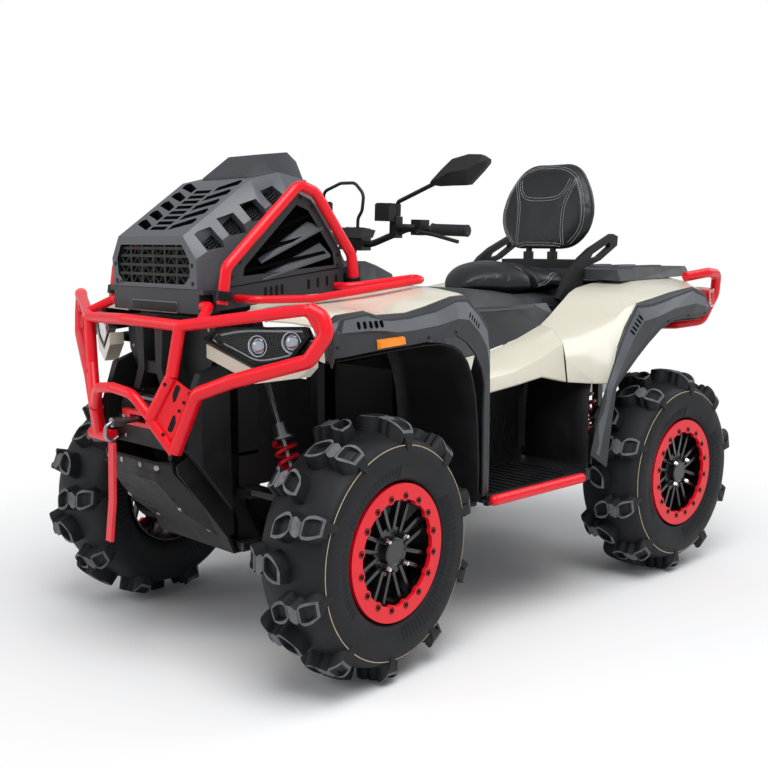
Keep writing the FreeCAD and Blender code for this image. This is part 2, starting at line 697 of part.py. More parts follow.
def make_headlights():
    """Headlight housings with two round projectors each, and their clear covers."""
    shell = loft([lamp_ring(1.0, 0), lamp_ring(0.9, 29.8)])
    well = loft([lamp_ring(0.9, -1), lamp_ring(0.84, 20)])
    body = shell.cut(well)
    eyes = []
    for y, z in ((395, 952), (490, 965)):
        x = F + 435 - LAMP_SWEEP * y
        eyes.append(rod((x - 29, y, z), (x - 22, y, z), 27))
    save("headlight_housings", pair(fused([body] + eyes)))
    cover = loft([lamp_ring(0.89, 2), lamp_ring(0.87, 8)])
    save("headlight_lenses", pair(cover))


def fang():
    """Left painted corner under the headlight."""
    rings = []
    for y, top, low, deep in ((258, 953, 915, 50), (395, 887, 850, 50), (520, 915, 872, 40), (552, 945, 900, 28)):
        x = F + 433 - LAMP_SWEEP * y
        rings.append([(x, y, top), (x, y, low), (x - deep, y, low), (x - deep, y, top)])
    return loft(rings)


def make_bumper():
    """Front bumper: top bar, side loops round the headlights, uprights, crossed gusset and feet."""
    dx = F - 750
    p = lambda x, y, z: (x + dx, y, z)
    whole = []
    whole.append(bent([p(965, -618, 1000), p(985, -590, 1058), p(1148, -243, 1006), p(1175, 0, 1014),
                       p(1148, 243, 1006), p(985, 590, 1058), p(965, 618, 1000)], BUMPER_R, 30))
    side = [bent([p(985, 590, 1058), p(966, 622, 1040), p(964, 634, 996), p(990, 592, 925), p(1085, 385, 862),
                  p(1128, 285, 822), p(1150, 205, 655)], LOOP_R, 34)]
    side.append(rod(p(1148, 243, 1006), p(1160, 215, 868), 17))
    side.append(rod(p(1160, 215, 868), p(1192, 148, 745), 17))
    side.append(rod(p(1192, 148, 745), p(1152, 202, 652), 15))
    side.append(bent([p(1190, 150, 748), p(1212, 95, 812), p(1218, 0, 822)], 15, 60))
    gusset = sheet([[p(1158, 218, 862), p(1128, 280, 818)], [p(1188, 152, 745), p(1150, 208, 665)]], (-6, -3, 0))
    side.append(gusset)
    side.append(rod(p(1150, 240, 655), p(1150, 130, 655), 20))
    side.append(rod(p(1150, FOOT_Y, FOOT_Z), p(1005.3, FOOT_Y, FOOT_Z), FOOT_R))
    side.append(rod(p(1060, 254, 1054), p(1120, 300, 1018), 14))
    side.append(rod(p(1060, 254, 1054), p(1060, 225.3, 1054), 14))
    for s in side:
        whole += pair(s)
    lead = plate_yz([(-85, 700), (85, 700), (85, 745), (-85, 745)], 1122.3 + dx, 1140 + dx)
    slot = block(1120 + dx, 1145 + dx, -45, 45, 712, 733)
    save("front_bumper", [fused(whole), lead.cut(slot)])


def make_winch():
    """Winch drum and motor behind the bumper, fairlead, hook and its strap."""
    dx = F - 750
    drum = [rod((1075 + dx, -120, 745), (1075 + dx, 120, 745), 34),
            rod((1075 + dx, 55, 745), (1075 + dx, 125, 745), 44),
            rod((1075 + dx, -125, 745), (1075 + dx, -55, 745), 44),
            block(1060 + dx, 1122 + dx, -135, 135, 700.3, 722)]
    hook = fused([rod((1104 + dx, 0, 722), (1195 + dx, 0, 722), 9), rod((1190 + dx, 0, 722), (1226 + dx, 0, 722), 14),
                  bent([(1226 + dx, 0, 722), (1244 + dx, 0, 712), (1246 + dx, 0, 680), (1226 + dx, 0, 668),
                        (1206 + dx, 0, 678)], 6, 14)])
    save("winch", [fused(drum + [hook])])
    loop = plate_xz([(1221 + dx, 663.6), (1231 + dx, 663.6), (1236 + dx, 500), (1250 + dx, 380), (1240 + dx, 378),
                     (1226 + dx, 498)], -14, 14)
    save("winch_strap", [loop])


# Radiator box on the nose
def make_radiator():
    """Radiator, its shroud with cut windows, the tray under it and the scoop on top."""
    dx = F - 750
    outer = loft([
        [(1074 + dx, -221, 1100), (1074 + dx, 221, 1100), (1076 + dx, 221, 1182), (1083 + dx, 170, 1246),
         (1083 + dx, -170, 1246), (1076 + dx, -221, 1182)],
        [(850 + dx, -238, 1100), (850 + dx, 238, 1100), (850 + dx, 238, 1322), (850 + dx, 172, 1408),
         (850 + dx, -172, 1408), (850 + dx, -238, 1322)],
        [(745 + dx, -240, 1100), (745 + dx, 240, 1100), (745 + dx, 240, 1375), (745 + dx, 172, 1432),
         (745 + dx, -172, 1432), (745 + dx, -240, 1375)],
        [(640 + dx, -240, 1100), (640 + dx, 240, 1100), (640 + dx, 240, 1330), (640 + dx, 172, 1412),
         (640 + dx, -172, 1412), (640 + dx, -240, 1330)],
        [(545 + dx, -236, 1100), (545 + dx, 236, 1100), (545 + dx, 236, 1170), (545 + dx, 172, 1190),
         (545 + dx, -172, 1190), (545 + dx, -236, 1170)]])
    inner = loft([
        [(1062 + dx, -205, 1080), (1062 + dx, 205, 1080), (1062 + dx, 205, 1172), (1062 + dx, 158, 1226),
         (1062 + dx, -158, 1226), (1062 + dx, -205, 1172)],
        [(850 + dx, -222, 1080), (850 + dx, 222, 1080), (850 + dx, 222, 1305), (850 + dx, 160, 1386),
         (850 + dx, -160, 1386), (850 + dx, -222, 1305)],
        [(745 + dx, -224, 1080), (745 + dx, 224, 1080), (745 + dx, 224, 1358), (745 + dx, 160, 1412),
         (745 + dx, -160, 1412), (745 + dx, -224, 1358)],
        [(640 + dx, -224, 1080), (640 + dx, 224, 1080), (640 + dx, 224, 1310), (640 + dx, 160, 1390),
         (640 + dx, -160, 1390), (640 + dx, -224, 1310)],
        [(570 + dx, -222, 1080), (570 + dx, 222, 1080), (570 + dx, 222, 1150), (570 + dx, 160, 1165),
         (570 + dx, -160, 1165), (570 + dx, -222, 1150)]])
    grille = plate_yz([(-160, 1112), (160, 1112), (188, 1135), (188, 1180), (160, 1222), (-160, 1222),
                       (-188, 1180), (-188, 1135)], 1040 + dx, 1100 + dx)
    bars = [block(1064 + dx, 1072 + dx, -190, 190, z, z + 8) for z in (1134, 1160, 1186, 1208)]
    bars += [block(1064 + dx, 1072 + dx, y - 4, y + 4, 1108, 1226) for y in (-120, -60, 0, 60, 120)]
    cuts = [grille]
    for k in range(4):
        x = 1054 - 72.7 * k + dx
        z = 1263 + 39.7 * k
        window = [(x, z - 8), (x - 49, z + 9), (x - 70, z - 48), (x - 15, z - 58)]
        cuts += [plate_xz(window, 182, 300), plate_xz(window, -300, -182)]
    slope = 0.723
    for k in range(8):
        x = 1050 - 22 * k
        z = 1250 + (1072 - x) * slope
        cuts.append(block(x - 7 + dx, x + 7 + dx, -40, 40, z - 60, z + 60))
    for side in (-1, 1):
        for k in range(5):
            x = 1046 - 40 * k
            z = 1250 + (1072 - x) * slope
            slot = plate_xy([(x + 12 + dx, side * 56), (x - 8 + dx, side * 56), (x - 36 + dx, side * 128),
                             (x - 30 + dx, side * 144), (x - 14 + dx, side * 144)], z - 70, z + 70)
            cuts.append(slot)
    shell = outer.cut(inner).cut(fused(cuts))
    lattice = fused(bars).common(plate_yz([(-165, 1108), (165, 1108), (192, 1133), (192, 1182), (162, 1227),
                                           (-162, 1227), (-192, 1182), (-192, 1133)], 1050 + dx, 1090 + dx))
    front = fused([shell, lattice])
    save("radiator_shroud", [front])
    save("radiator_core", [block(1004 + dx, 1040 + dx, -185, 185, 1100, 1207)])
    tray = plate_xz([(1074 + dx, 1100), (1070 + dx, 1030), (540 + dx, 1100), (500 + dx, 1165), (528 + dx, 1100)], -245, 245)
    base = block(500 + dx, 1072 + dx, -245, 245, 1085, 1100)
    front_band = block(1000 + dx, 1072 + dx, -225, 225, 1031, 1086)
    walls = []
    for s in (-1, 1):
        wall = plate_xz([(1040 + dx, 1040), (1040 + dx, 1100), (500 + dx, 1160), (500 + dx, 1085)],
                        min(s * 245, s * 262), max(s * 245, s * 262))
        walls.append(wall)
    save("radiator_tray", [fused([base, front_band] + walls)])
    scoop = loft([
        [(815 + dx, -130, 1400), (815 + dx, 130, 1400), (815 + dx, 112, 1424), (815 + dx, -112, 1424)],
        [(742 + dx, -156, 1425), (742 + dx, 156, 1425), (742 + dx, 78, 1489), (742 + dx, -78, 1489)],
        [(640 + dx, -166, 1400), (640 + dx, 166, 1400), (640 + dx, 84, 1500), (640 + dx, -84, 1500)],
        [(605 + dx, -150, 1360), (605 + dx, 150, 1360), (605 + dx, 84, 1474), (605 + dx, -84, 1474)]])
    above = loft([
        [(1083 + dx, -172, 1247), (1083 + dx, 172, 1247), (1083 + dx, 172, 1600), (1083 + dx, -172, 1600)],
        [(850 + dx, -172, 1408.3), (850 + dx, 172, 1408.3), (850 + dx, 172, 1600), (850 + dx, -172, 1600)],
        [(745 + dx, -180, 1432.3), (745 + dx, 180, 1432.3), (745 + dx, 180, 1600), (745 + dx, -180, 1600)],
        [(640 + dx, -180, 1412.3), (640 + dx, 180, 1412.3), (640 + dx, 180, 1600), (640 + dx, -180, 1600)],
        [(590 + dx, -180, 1295), (590 + dx, 180, 1295), (590 + dx, 180, 1600), (590 + dx, -180, 1600)]])
    return scoop.common(above)


def make_hoops():
    """Red tube along each side of the shroud, from the tray over the top and down again."""
    dx = F - 750
    y = 285.0
    hoop = bent([(1038 + dx, y, 1060), (1022 + dx, y, 1160), (762 + dx, y, 1392), (700 + dx, y, 1372),
                 (560 + dx, y, 1190), (545 + dx, y, 1085)], HOOP_R, 40)
    feet = [rod((1032 + dx, 262, 1078), (1032 + dx, y, 1078), 9), rod((548 + dx, 262, 1108), (548 + dx, y, 1108), 9)]
    hoops = pair(fused([hoop] + feet))
    panel = plate_xz([(1000 + dx, 1106), (985 + dx, 1172), (755 + dx, 1372), (700 + dx, 1350), (585 + dx, 1200),
                      (580 + dx, 1153.5)], 240.3, 266)
    hole = plate_xz([(950 + dx, 1135), (945 + dx, 1160), (755 + dx, 1335), (712 + dx, 1320), (620 + dx, 1200),
                     (612 + dx, 1160)], 246, 270)
    fins = []
    for k in range(3):
        z = 1150 + 58 * k
        fins.append(plate_xz([(955 - 60 * k + dx, z), (650 + 16 * k + dx, z + 52), (640 + 16 * k + dx, z + 44),
                              (955 - 60 * k + dx, z - 8)], 244, 264))
    keep = plate_xz([(1000 + dx, 1106), (985 + dx, 1172), (755 + dx, 1372), (700 + dx, 1350), (585 + dx, 1200),
                     (580 + dx, 1153.5)], 240, 270)
    side = fused([panel.cut(hole)] + [f.common(keep) for f in fins])
    return hoops, pair(side)


def make_front_rack():
    """Two red rails on each side of the tray."""
    dx = F - 750
    rail = bent([(975 + dx, 262.9, 1074), (972 + dx, 345, 1073), (810 + dx, 395, 1071), (392 + dx, 420, 1112),
                 (372 + dx, 372, 1118), (560 + dx, 330, 1100), (602 + dx, 310, 1097), (602 + dx, 262.3, 1097)],
                RACK_R, 26)
    return pair(rail)


# Front bodywork
def make_front_body():
    """Front fenders: painted tops, dark flares, inner arches and marker lamps."""
    dx = F - 750
    stations = [
        [(1000, 268, 1022), (985, 400, 1022), (960, 490, 1019.5), (950, 566, 1012.7), (944, 582, 925)],
        [(932, 268, 1040), (932, 400, 1036), (932, 490, 1026), (930, 572, 1013), (928, 586, 918)],
        [(926, 264.6, 1052), (926, 400, 1044), (926, 480, 1036), (925, 552, 1020), (925, 566, 1006)],
        [(880, 264.6, 1058), (880, 400, 1050), (880, 480, 1045), (880, 555, 1040), (880, 568, 1038)],
        [(780, 264.6, 1070), (780, 400, 1056), (780, 480, 1052), (780, 556, 1048), (780, 571, 1046)],
        [(731, 264.6, 1074), (731, 400, 1058), (731, 480, 1048), (731, 556, 1036), (731, 571, 1032)],
        [(620, 264.6, 1078), (620, 400, 1066), (620, 480, 1052), (620, 556, 1036), (620, 571, 1032)],
        [(540, 264.6, 1081), (540, 400, 1074), (540, 480, 1062), (540, 556, 1050), (540, 571, 1046)],
        [(429, 268, 1092), (429, 400, 1088), (429, 480, 1082), (429, 552, 1074), (429, 568, 1070)],
        [(370, 250, 1096), (370, 390, 1092), (370, 470, 1086), (370, 548, 1076), (370, 565, 1072)],
        [(300, 235, 1080), (300, 370, 1062), (300, 440, 1050), (300, 530, 1036), (300, 552, 1026)],
        [(278, 233, 1058), (278, 355, 1040), (277, 430, 1018), (276, 510, 992), (278, 543, 975)],
        [(255, 232, 1040), (255, 340, 1020), (252, 410, 990), (252, 490, 952), (256, 532, 925)]]
    rows = [[(x + dx, y, z) for x, y, z in s] for s in stations]
    save("front_body", pair(sheet(rows, (0, -2, -SHEET))) + pair(fang()))
    line = [
        ((922.8, 551, 935), (922.8, 592, 918), (922.8, 604, 900)),
        ((918, 567, 1002), (902, 592, 988), (912, 606, 928)),
        ((880, 568.2, 1036), (882, 594, 1027), (888, 612, 928)),
        ((780, 571.2, 1044), (782, 595, 1039), (782, 612, 936)),
        ((731, 571.2, 1030), (731, 595, 1021), (731, 612, 938)),
        ((620, 571.2, 1030), (620, 595, 1024), (620, 612, 944)),
        ((540, 571.2, 1044), (520, 595, 1036), (520, 612, 952)),
        ((429, 568.2, 1068), (429, 592, 1062), (445, 612, 958)),
        ((370, 565.2, 1070), (375, 590, 1062), (400, 612, 935)),
        ((300, 552.6, 1024), (320, 590, 1016), (362, 612, 900)),
        ((278, 543.6, 973), (279, 590, 968), (330, 612, 850)),
        ((262, 533, 900), (272, 592, 896), (316, 612, 800)),
        ((258, 500, 800), (268, 590, 790), (312, 606, 700)),
        ((256, 480, 600), (266, 588, 600), (306, 600, 590)),
        ((254, 470, 452.4), (264, 585, 452.4), (303, 597, 452.4))]
    rows = [[(x + dx, y, z) for x, y, z in s] for s in line]
    save("front_flares", pair(wall_under(rows, FLARE_SHEET, (0, -1, -1))))
    front_arch = [(918, 904, 530), (895, 908, 560), (850, 915, 590), (660, 928, 590), (470, 938, 590), (395, 905, 590),
                  (348, 835, 590), (322, 700, 590), (315.3, 430, 590)]
    rows = [[(x + dx, y, z) for y in (BODY_IN, 380, edge)] for x, z, edge in front_arch]
    rear_arch = [(-343.3, 430, 528), (-345, 640, 520), (-368, 745, 512), (-430, 840, 510), (-520, 900, 525),
                 (-640, 922, 565), (-900, 926, 565), (-1050, 920, 550)]
    back = [[(x + R + 750, y, z) for y in (BODY_IN, 400, edge)] for x, z, edge in rear_arch]
    save("inner_fenders", pair(sheet(rows, (-6, 0, 6))) + pair(sheet(back, (6, 0, 6))))
    lamp = loft([[(765 + dx, 612.4, 940), (765 + dx, 608, 966), (662 + dx, 608, 971), (662 + dx, 612.4, 946)],
                 [(760 + dx, 625, 944), (760 + dx, 622, 962), (667 + dx, 622, 967), (667 + dx, 625, 949)]])
    save("marker_lamps", pair(lamp))


BODY_IN = 242.0


def make_middle():
    """Footwells, side rails, side panels, skirt, console and seat."""
    fx, rx = F - 750, R + 750
    # footwell: front wall, tunnel wall, floor and rear wall
    wells = []
    x0, x1 = 309 + fx, mid(-337)
    floor = plate_xy([(x0, TUNNEL_Y), (x0, 600), (-250 + rx, 585), (-325 + rx, 520), (x1, TUNNEL_Y)],
                     FLOOR_Z - 8, FLOOR_Z)
    wall = sheet([[(x0, TUNNEL_Y, FLOOR_Z - 8), (x1, TUNNEL_Y, FLOOR_Z - 8)],
                  [(x0, TUNNEL_Y, 640), (x1, TUNNEL_Y, 640)],
                  [(x0 - 20, 262, 795), (x1, 262, 795)]], (0, -6, 0))
    sill = block(-180 + rx, 290 + fx, 585, 603, FLOOR_Z - 20, FLOOR_Z + 12)
    wells.append(fused([floor, wall, sill]))
    save("footwells", [s for w in wells for s in pair(w)])
    ends = ((280 + fx, 622, 440), (-165 + rx, 622, 440))
    bar = [rod(*ends, SIDE_BAR_R)] + [Part.makeSphere(SIDE_BAR_R, V(*e)) for e in ends]
    bar += [block(x - 14, x + 14, 603.3, 615, 430, 450) for x in (ends[0][0] - 40, ends[1][0] + 40, mid(50))]
    save("side_bars", pair(fused(bar)))
    side = [
        [(236, 300, 829.6), (236, 370, 800), (232, 425, 770), (230, 436, 735)],
        [(100, 300, 834.6), (100, 365, 808), (100, 420, 775), (100, 430, 735)],
        [(-60, 300, 849.6), (-60, 362, 830), (-60, 418, 790), (-60, 428, 748)],
        [(-200, 300, 879.6), (-195, 365, 865), (-190, 425, 825), (-185, 438, 765)],
        [(-344.4, 300, 924.6), (-334.2, 365, 915), (-316.5, 425, 870), (-296, 458, 740)]]
    side = [[(mid(x), y, z) for x, y, z in row] for row in side]
    save("side_panels", pair(sheet(side, (0, -3, -SHEET))))
    skirt_rings = []
    for x, z, w, low in ((250, 1072, 135, 960), (120, 1072, 175, 965), (-40, 1066, 215, 985),
                         (-200, 1050, 220, 985), (-340, 1030, 220, 985), (-560, 1030, 178, 985)):
        x = mid(x)
        skirt_rings.append([(x, -w - 55, low), (x, w + 55, low), (x, w, z - 12), (x, w - 25, z), (x, -w + 25, z),
                            (x, -w, z - 12)])
    apron = sheet([[(mid(x), w, 1000), (mid(x), 300, low)] for x, w, low in (
        (250, 176, 830), (120, 216, 835), (-40, 262, 850), (-200, 266, 880), (-344, 266, 925), (-430, 262, 955))],
        (0, -5, 0))
    console_rings = []
    for x, z, w, low in ((485 + fx, 1150, 225, 1090), (400 + fx, 1166, 215, 1085), (300 + fx, 1150, 160, 1080),
                         (250.3 + fx, 1135, 145, 1060)):
        console_rings.append([(x, -w - 25, low), (x, w + 25, low), (x, w, z - 15), (x, w - 40, z), (x, -w + 40, z),
                              (x, -w, z - 15)])
    hole = Part.makeCylinder(STEM_R + 5, 900, STEM_TOP - STEM_DIR * 800, STEM_DIR)
    save("seat_skirt", [fused([loft(skirt_rings)] + pair(apron)), loft(console_rings).cut(hole)])


def seat_ring(x, z, w, low):
    """Cross-section of a seat: crowned top and tucked sides."""
    x = mid(x)
    return [(x, -w * 0.9, low), (x, w * 0.9, low), (x, w, low + (z - low) * 0.55), (x, w * 0.72, z - 8), (x, 0, z),
            (x, -w * 0.72, z - 8), (x, -w, low + (z - low) * 0.55)]


def make_seats():
    """Rider's seat, passenger's seat, backrest and grab handles."""
    fx, rx = F - 750, R + 750
    front = [seat_ring(x, z, w, low) for x, z, w, low in (
        (-197, 1064, 34, 1050.7), (-225, 1094, 66, 1046.9), (-262, 1122, 98, 1041.5), (-310, 1142, 135, 1034.7),
        (-340, 1148, 156, 1030.4), (-400, 1154, 184, 1030.3), (-455, 1152, 196, 1030.3))]
    rear = [seat_ring(x, z, w, low) for x, z, w, low in (
        (-458, 1151, 198, 1030.3), (-500, 1144, 208, 1041.3), (-560, 1134, 214, 1041.3),
        (-620, 1126, 208, 1041.3), (-659, 1128, 186, 1041.3))]
    save("seats", [loft(front), loft(rear)])
    rings = []
    for z, x0, w, t in ((1186, -702, 128, 60), (1215, -697, 180, 90), (1262, -694, 222, 108), (1320, -698, 238, 112),
                        (1385, -712, 228, 106), (1445, -734, 200, 96), (1500, -760, 158, 84), (1538, -790, 100, 50)):
        x = x0 + rx
        rings.append([(x, 0, z), (x - 8, w * 0.8, z), (x - t * 0.6, w, z), (x - t, w * 0.8, z - 4), (x - t - 14, 0, z - 4),
                      (x - t, -w * 0.8, z - 4), (x - t * 0.6, -w, z), (x - 8, -w * 0.8, z)])
    save("backrest", [loft(rings)])
    stay = [block(-742 + rx, -712 + rx, -75, -45, 1150, 1182.8), block(-742 + rx, -712 + rx, 45, 75, 1150, 1182.8),
            block(-780 + rx, -690 + rx, -170, 170, 1118, 1152)]
    arm = plate_xz([(-548 + rx, 985), (-505 + rx, 1012), (-560 + rx, 1092), (-640 + rx, 1160), (-705 + rx, 1196),
                    (-850 + rx, 1252), (-884 + rx, 1242), (-880 + rx, 1206), (-770 + rx, 1150), (-700 + rx, 1131),
                    (-669 + rx, 1125), (-655 + rx, 1060), (-622 + rx, 990)], 238, 262)
    slot = plate_xz([(-700 + rx, 1154), (-716 + rx, 1174), (-826 + rx, 1218), (-832 + rx, 1202), (-760 + rx, 1164)],
                    230, 270)
    arm = arm.cut(slot)
    cross = block(-659.7 + rx, -560 + rx, -240, 240, 1014, 1041)
    save("grab_handles", [fused(pair(arm) + [cross]), fused(stay)])


def make_rear():
    """Rear fenders, flares, rack deck, bumper hoops, lamps, mudguard and silencer."""
    rx = R + 750
    stations = [
        [(-345, 302, 926), (-335, 365, 915), (-318, 425, 870), (-306, 448, 815), (-298, 464, 740)],
        [(-395, 302, 955), (-390, 375, 942), (-378, 450, 905), (-366, 506, 840), (-352, 540, 737)],
        [(-450, 300, 990), (-450, 385, 975), (-446, 470, 950), (-428, 535, 905), (-391, 573, 735)],
        [(-490, 296, 1012), (-490, 395, 1002), (-488, 480, 990), (-470, 545, 960), (-425, 573, 845)],
        [(-530, 290, 1034), (-530, 395, 1024), (-528, 490, 1010), (-512, 550, 990), (-475, 573, 928)],
        [(-575, 287, 1050), (-575, 400, 1040), (-575, 500, 1030), (-572, 560, 1018), (-545, 573, 1008)],
        [(-640, 285, 1060), (-640, 400, 1050), (-640, 500, 1038), (-640, 560, 1026), (-640, 573, 1020)],
        [(-760, 285, 1075), (-760, 385, 1075), (-760, 500, 1052), (-760, 562, 1040), (-760, 572, 1038)],
        [(-920, 285, 1078.6), (-920, 395, 1078.6), (-920, 500, 1064), (-920, 560, 1056), (-920, 571, 1054)],
        [(-1000, 282, 1080.4), (-1000, 390, 1080.4), (-1000, 500, 1062), (-1000, 552, 1042), (-1000, 563, 1038)],
        [(-1046, 280, 1081.4), (-1046, 380, 1081.4), (-1046, 470, 1066), (-1046, 540, 1024), (-1046, 551, 1018)],
        [(-1052, 280, 1081.6), (-1052, 380, 1081.6), (-1051, 445, 1066), (-1051, 464, 1054), (-1051, 468, 1044)],
        [(-1130, 270, 1060), (-1130, 360, 1056), (-1125, 440, 1050), (-1120, 460, 1035), (-1120, 465, 1015)]]
    rows = [[(x + rx, y, z) for x, y, z in s] for s in stations]
    tail_panel = block(-1135 + rx, -1115 + rx, -266, 266, 985, 1083.1)
    save("rear_body", pair(sheet(rows, (0, -2, -SHEET))) + [tail_panel])
    line = [
        ((-300, 560, 458), (-256, 594, 500), (-340, 606, 446)),
        ((-325, 560, 600), (-288, 596, 605), (-360, 608, 590)),
        ((-388, 573.6, 724), (-331, 597, 720), (-380, 612, 725)),
        ((-425, 573.6, 843), (-400, 597, 847), (-440, 612, 770)),
        ((-475, 573.6, 926), (-452, 597, 930), (-500, 612, 815)),
        ((-545, 573.6, 1006), (-512, 597, 1004), (-570, 612, 862)),
        ((-640, 573.6, 1018), (-600, 597, 1003), (-650, 612, 908)),
        ((-760, 573, 1036), (-740, 594, 1024), (-745, 612, 938)),
        ((-920, 571.6, 1052), (-900, 592, 1050), (-880, 610, 940)),
        ((-1000, 563.6, 1036), (-1000, 584, 1022), (-970, 602, 942)),
        ((-1046, 551.6, 1014), (-1048, 572, 990), (-1040, 588, 950))]
    rows = [[(x + rx, y, z) for x, y, z in s] for s in line]
    save("rear_flares", pair(wall_under(rows, FLARE_SHEET, (0, -1, -1))))
    deck = loft([[(-672, -340, 1080), (-672, 340, 1080), (-672, 330, 1118), (-672, -330, 1118)],
                 [(-700, -400, 1074), (-700, 400, 1074), (-700, 385, 1118), (-700, -385, 1118)],
                 [(-792, -405, 1076), (-792, 405, 1076), (-792, 388, 1118), (-792, -388, 1118)],
                 [(-800, -405, 1076.2), (-800, 405, 1076.2), (-800, 388, 1122), (-800, -388, 1122)],
                 [(-1150, -420, 1084), (-1150, 420, 1084), (-1150, 400, 1122), (-1150, -400, 1122)],
                 [(-1235, -370, 1096), (-1235, 370, 1096), (-1235, 355, 1120), (-1235, -355, 1120)]])
    deck.translate(V(rx, 0, 0))
    legs = [block(x - 15 + rx, x + 15 + rx, y - 15, y + 15, 1062, 1086) for x in (-675, -1065) for y in (-170, 170)]
    save("rear_rack", [fused([deck] + legs)])
    hoop = bent([(-1010 + rx, 490, 1085), (-1120 + rx, 525, 1100), (-1205 + rx, 515, 1092), (-1240 + rx, 490, 1010),
                 (-1180 + rx, 470, 905), (-1100 + rx, 400, 890), (-1078 + rx, 186.5, 880)], 19, 40)
    save("rear_bumper", pair(hoop))
    lamp = loft([[(-1050.8, 478, 1042), (-1050.8, 572, 1034), (-1050.8, 575, 985), (-1050.8, 478, 970)],
                 [(-1146, 472, 1042), (-1138, 545, 1038), (-1136, 548, 965), (-1146, 472, 958)]])
    lamp.translate(V(rx, 0, 0))
    save("tail_lamps", pair(lamp))
    guard = plate_xz([(-1080.3, 950), (-1102, 938), (-1154, 886), (-1199, 786), (-1193, 782), (-1148, 880),
                      (-1099, 930), (-1080.3, 942)], -170, 170)
    guard.translate(V(rx, 0, 0))
    save("rear_mudguard", [guard])
    can = rod((-1140 + rx, 60, 640), (-760 + rx, 60, 640), 62)
    tip = rod((-1175 + rx, 60, 640), (-1130 + rx, 60, 640), 24)
    hanger = block(-1075 + rx, -1055 + rx, 50, 70, 690, 790)
    save("silencer", [fused([can, tip, hanger])])


# Steering
def steered(shape):
    """A handlebar piece turned about the stem by the steering at rest."""
    s = shape.copy()
    s.rotate(STEM_TOP, STEM_DIR, REST_STEER)
    return s


def make_handlebar():
    """Stem, bar, grips, controls and mirrors, all turned together."""
    x, z = STEM_TOP.x, STEM_TOP.z
    low = STEM_TOP - STEM_DIR * 860
    stem = Part.makeCylinder(STEM_R, 860, low, STEM_DIR)
    clamp = block(x - 24, x + 24, -52, 52, z - 16, z + 26)
    line = [(x - 66, -GRIP_END_Y, z + 62), (x - 36, -200, z + 62), (x, -75, z + 6), (x, 75, z + 6),
            (x - 36, 200, z + 62), (x - 66, GRIP_END_Y, z + 62)]
    bar = bent(line, BAR_R, 70)
    save("handlebar", [steered(fused([stem, clamp, bar]))])
    gap = bent(line, BAR_R + 0.35, 70)
    grips = []
    controls = []
    mirrors = []
    for s in (-1, 1):
        a = V(x - 66, s * GRIP_END_Y, z + 62)
        b = V(x - 36, s * 200, z + 62)
        d = (b - a).normalize()
        sleeve = Part.makeCylinder(GRIP_R, 125, a + d * 2, d).cut(gap)
        grips.append(sleeve)
        c = a + d * 175
        switch = block(c.x - 22, c.x + 24, c.y - 20, c.y + 20, c.z - 20, c.z + 30)
        cylinder = rod((x - 20, c.y, z + 66), (x - 14, s * 160, z + 66), 11)
        mount = block(x - 38, x - 4, s * 162 - 14, s * 162 + 14, z + 30, z + 100)
        reservoir = block(x - 8, x + 30, s * 142 - 30, s * 142 + 30, z + 84, z + 139)
        lever = bent([(c.x + 22, c.y, c.z - 6), (x + 14, s * 290, z + 54), (x + 12, s * 350, z + 46),
                      (x - 2, s * 432, z + 28)], 6, 20)
        controls.append(fused([switch, cylinder, mount, reservoir, lever]).cut(gap))
        boot = rod((x - 25, s * 162, z + 100.3), (x - 25, s * 162, z + 140), 12)
        stalk = bent([(x - 25, s * 162, z + 120), (x - 25, s * 162, z + 146), (x - 22, s * 322, z + 210)], 7, 22)
        head = loft([[(x - 12 + out, s * y, z + low), (x - 8 + 2.2 * out, s * y, z + (low + top) / 2),
                      (x - 14 + out, s * y, z + top), (x - 36, s * y, z + top - 3), (x - 34, s * y, z + low + 3)][::s]
                     for y, low, top, out in ((308, 203, 217, 0), (350, 198, 252, 3), (392, 200, 283, 6),
                                              (455, 202, 297, 6), (500, 243, 296, 3), (522, 266, 284, 0))])
        mirrors.append(fused([boot, stalk, head]))
    save("mirrors", [steered(m) for m in mirrors])
    hose = bent([(x + 10, -138, z + 139.3), (x + 10, -138, z + 176), (x, -70, z + 205), (x, -5, z + 207),
                 (x, 36, z + 170), (x, 30, z + 115), (x, 12, z + 90), (x, 12, z + 57.8)], 5.5, 34)
    pod = loft([[(x - 24, -60, z + 26.3), (x - 24, 60, z + 26.3), (x - 44, 54, z + 52), (x - 44, -54, z + 52)],
                [(x + 40, -54, z + 26.3), (x + 40, 54, z + 26.3), (x + 10, 48, z + 58), (x + 10, -48, z + 58)]])
    save("controls", [steered(c) for c in grips + controls + [pod, hose]])


make_wheels()
make_knuckles()
make_suspension()
make_frame()
make_skid()
make_fascia()
make_headlights()
make_bumper()
make_winch()
scoop = make_radiator()
hoops, shroud_sides = make_hoops()
save("shroud_covers", [scoop] + shroud_sides)
save("front_rack", make_front_rack() + hoops)
make_front_body()
make_middle()
make_seats()
make_rear()
make_handlebar()
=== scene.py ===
import json
from math import cos, pi, radians, sin
import bmesh
import bpy
import numpy as np
from mathutils import Matrix, Vector
from mathutils.bvhtree import BVHTree


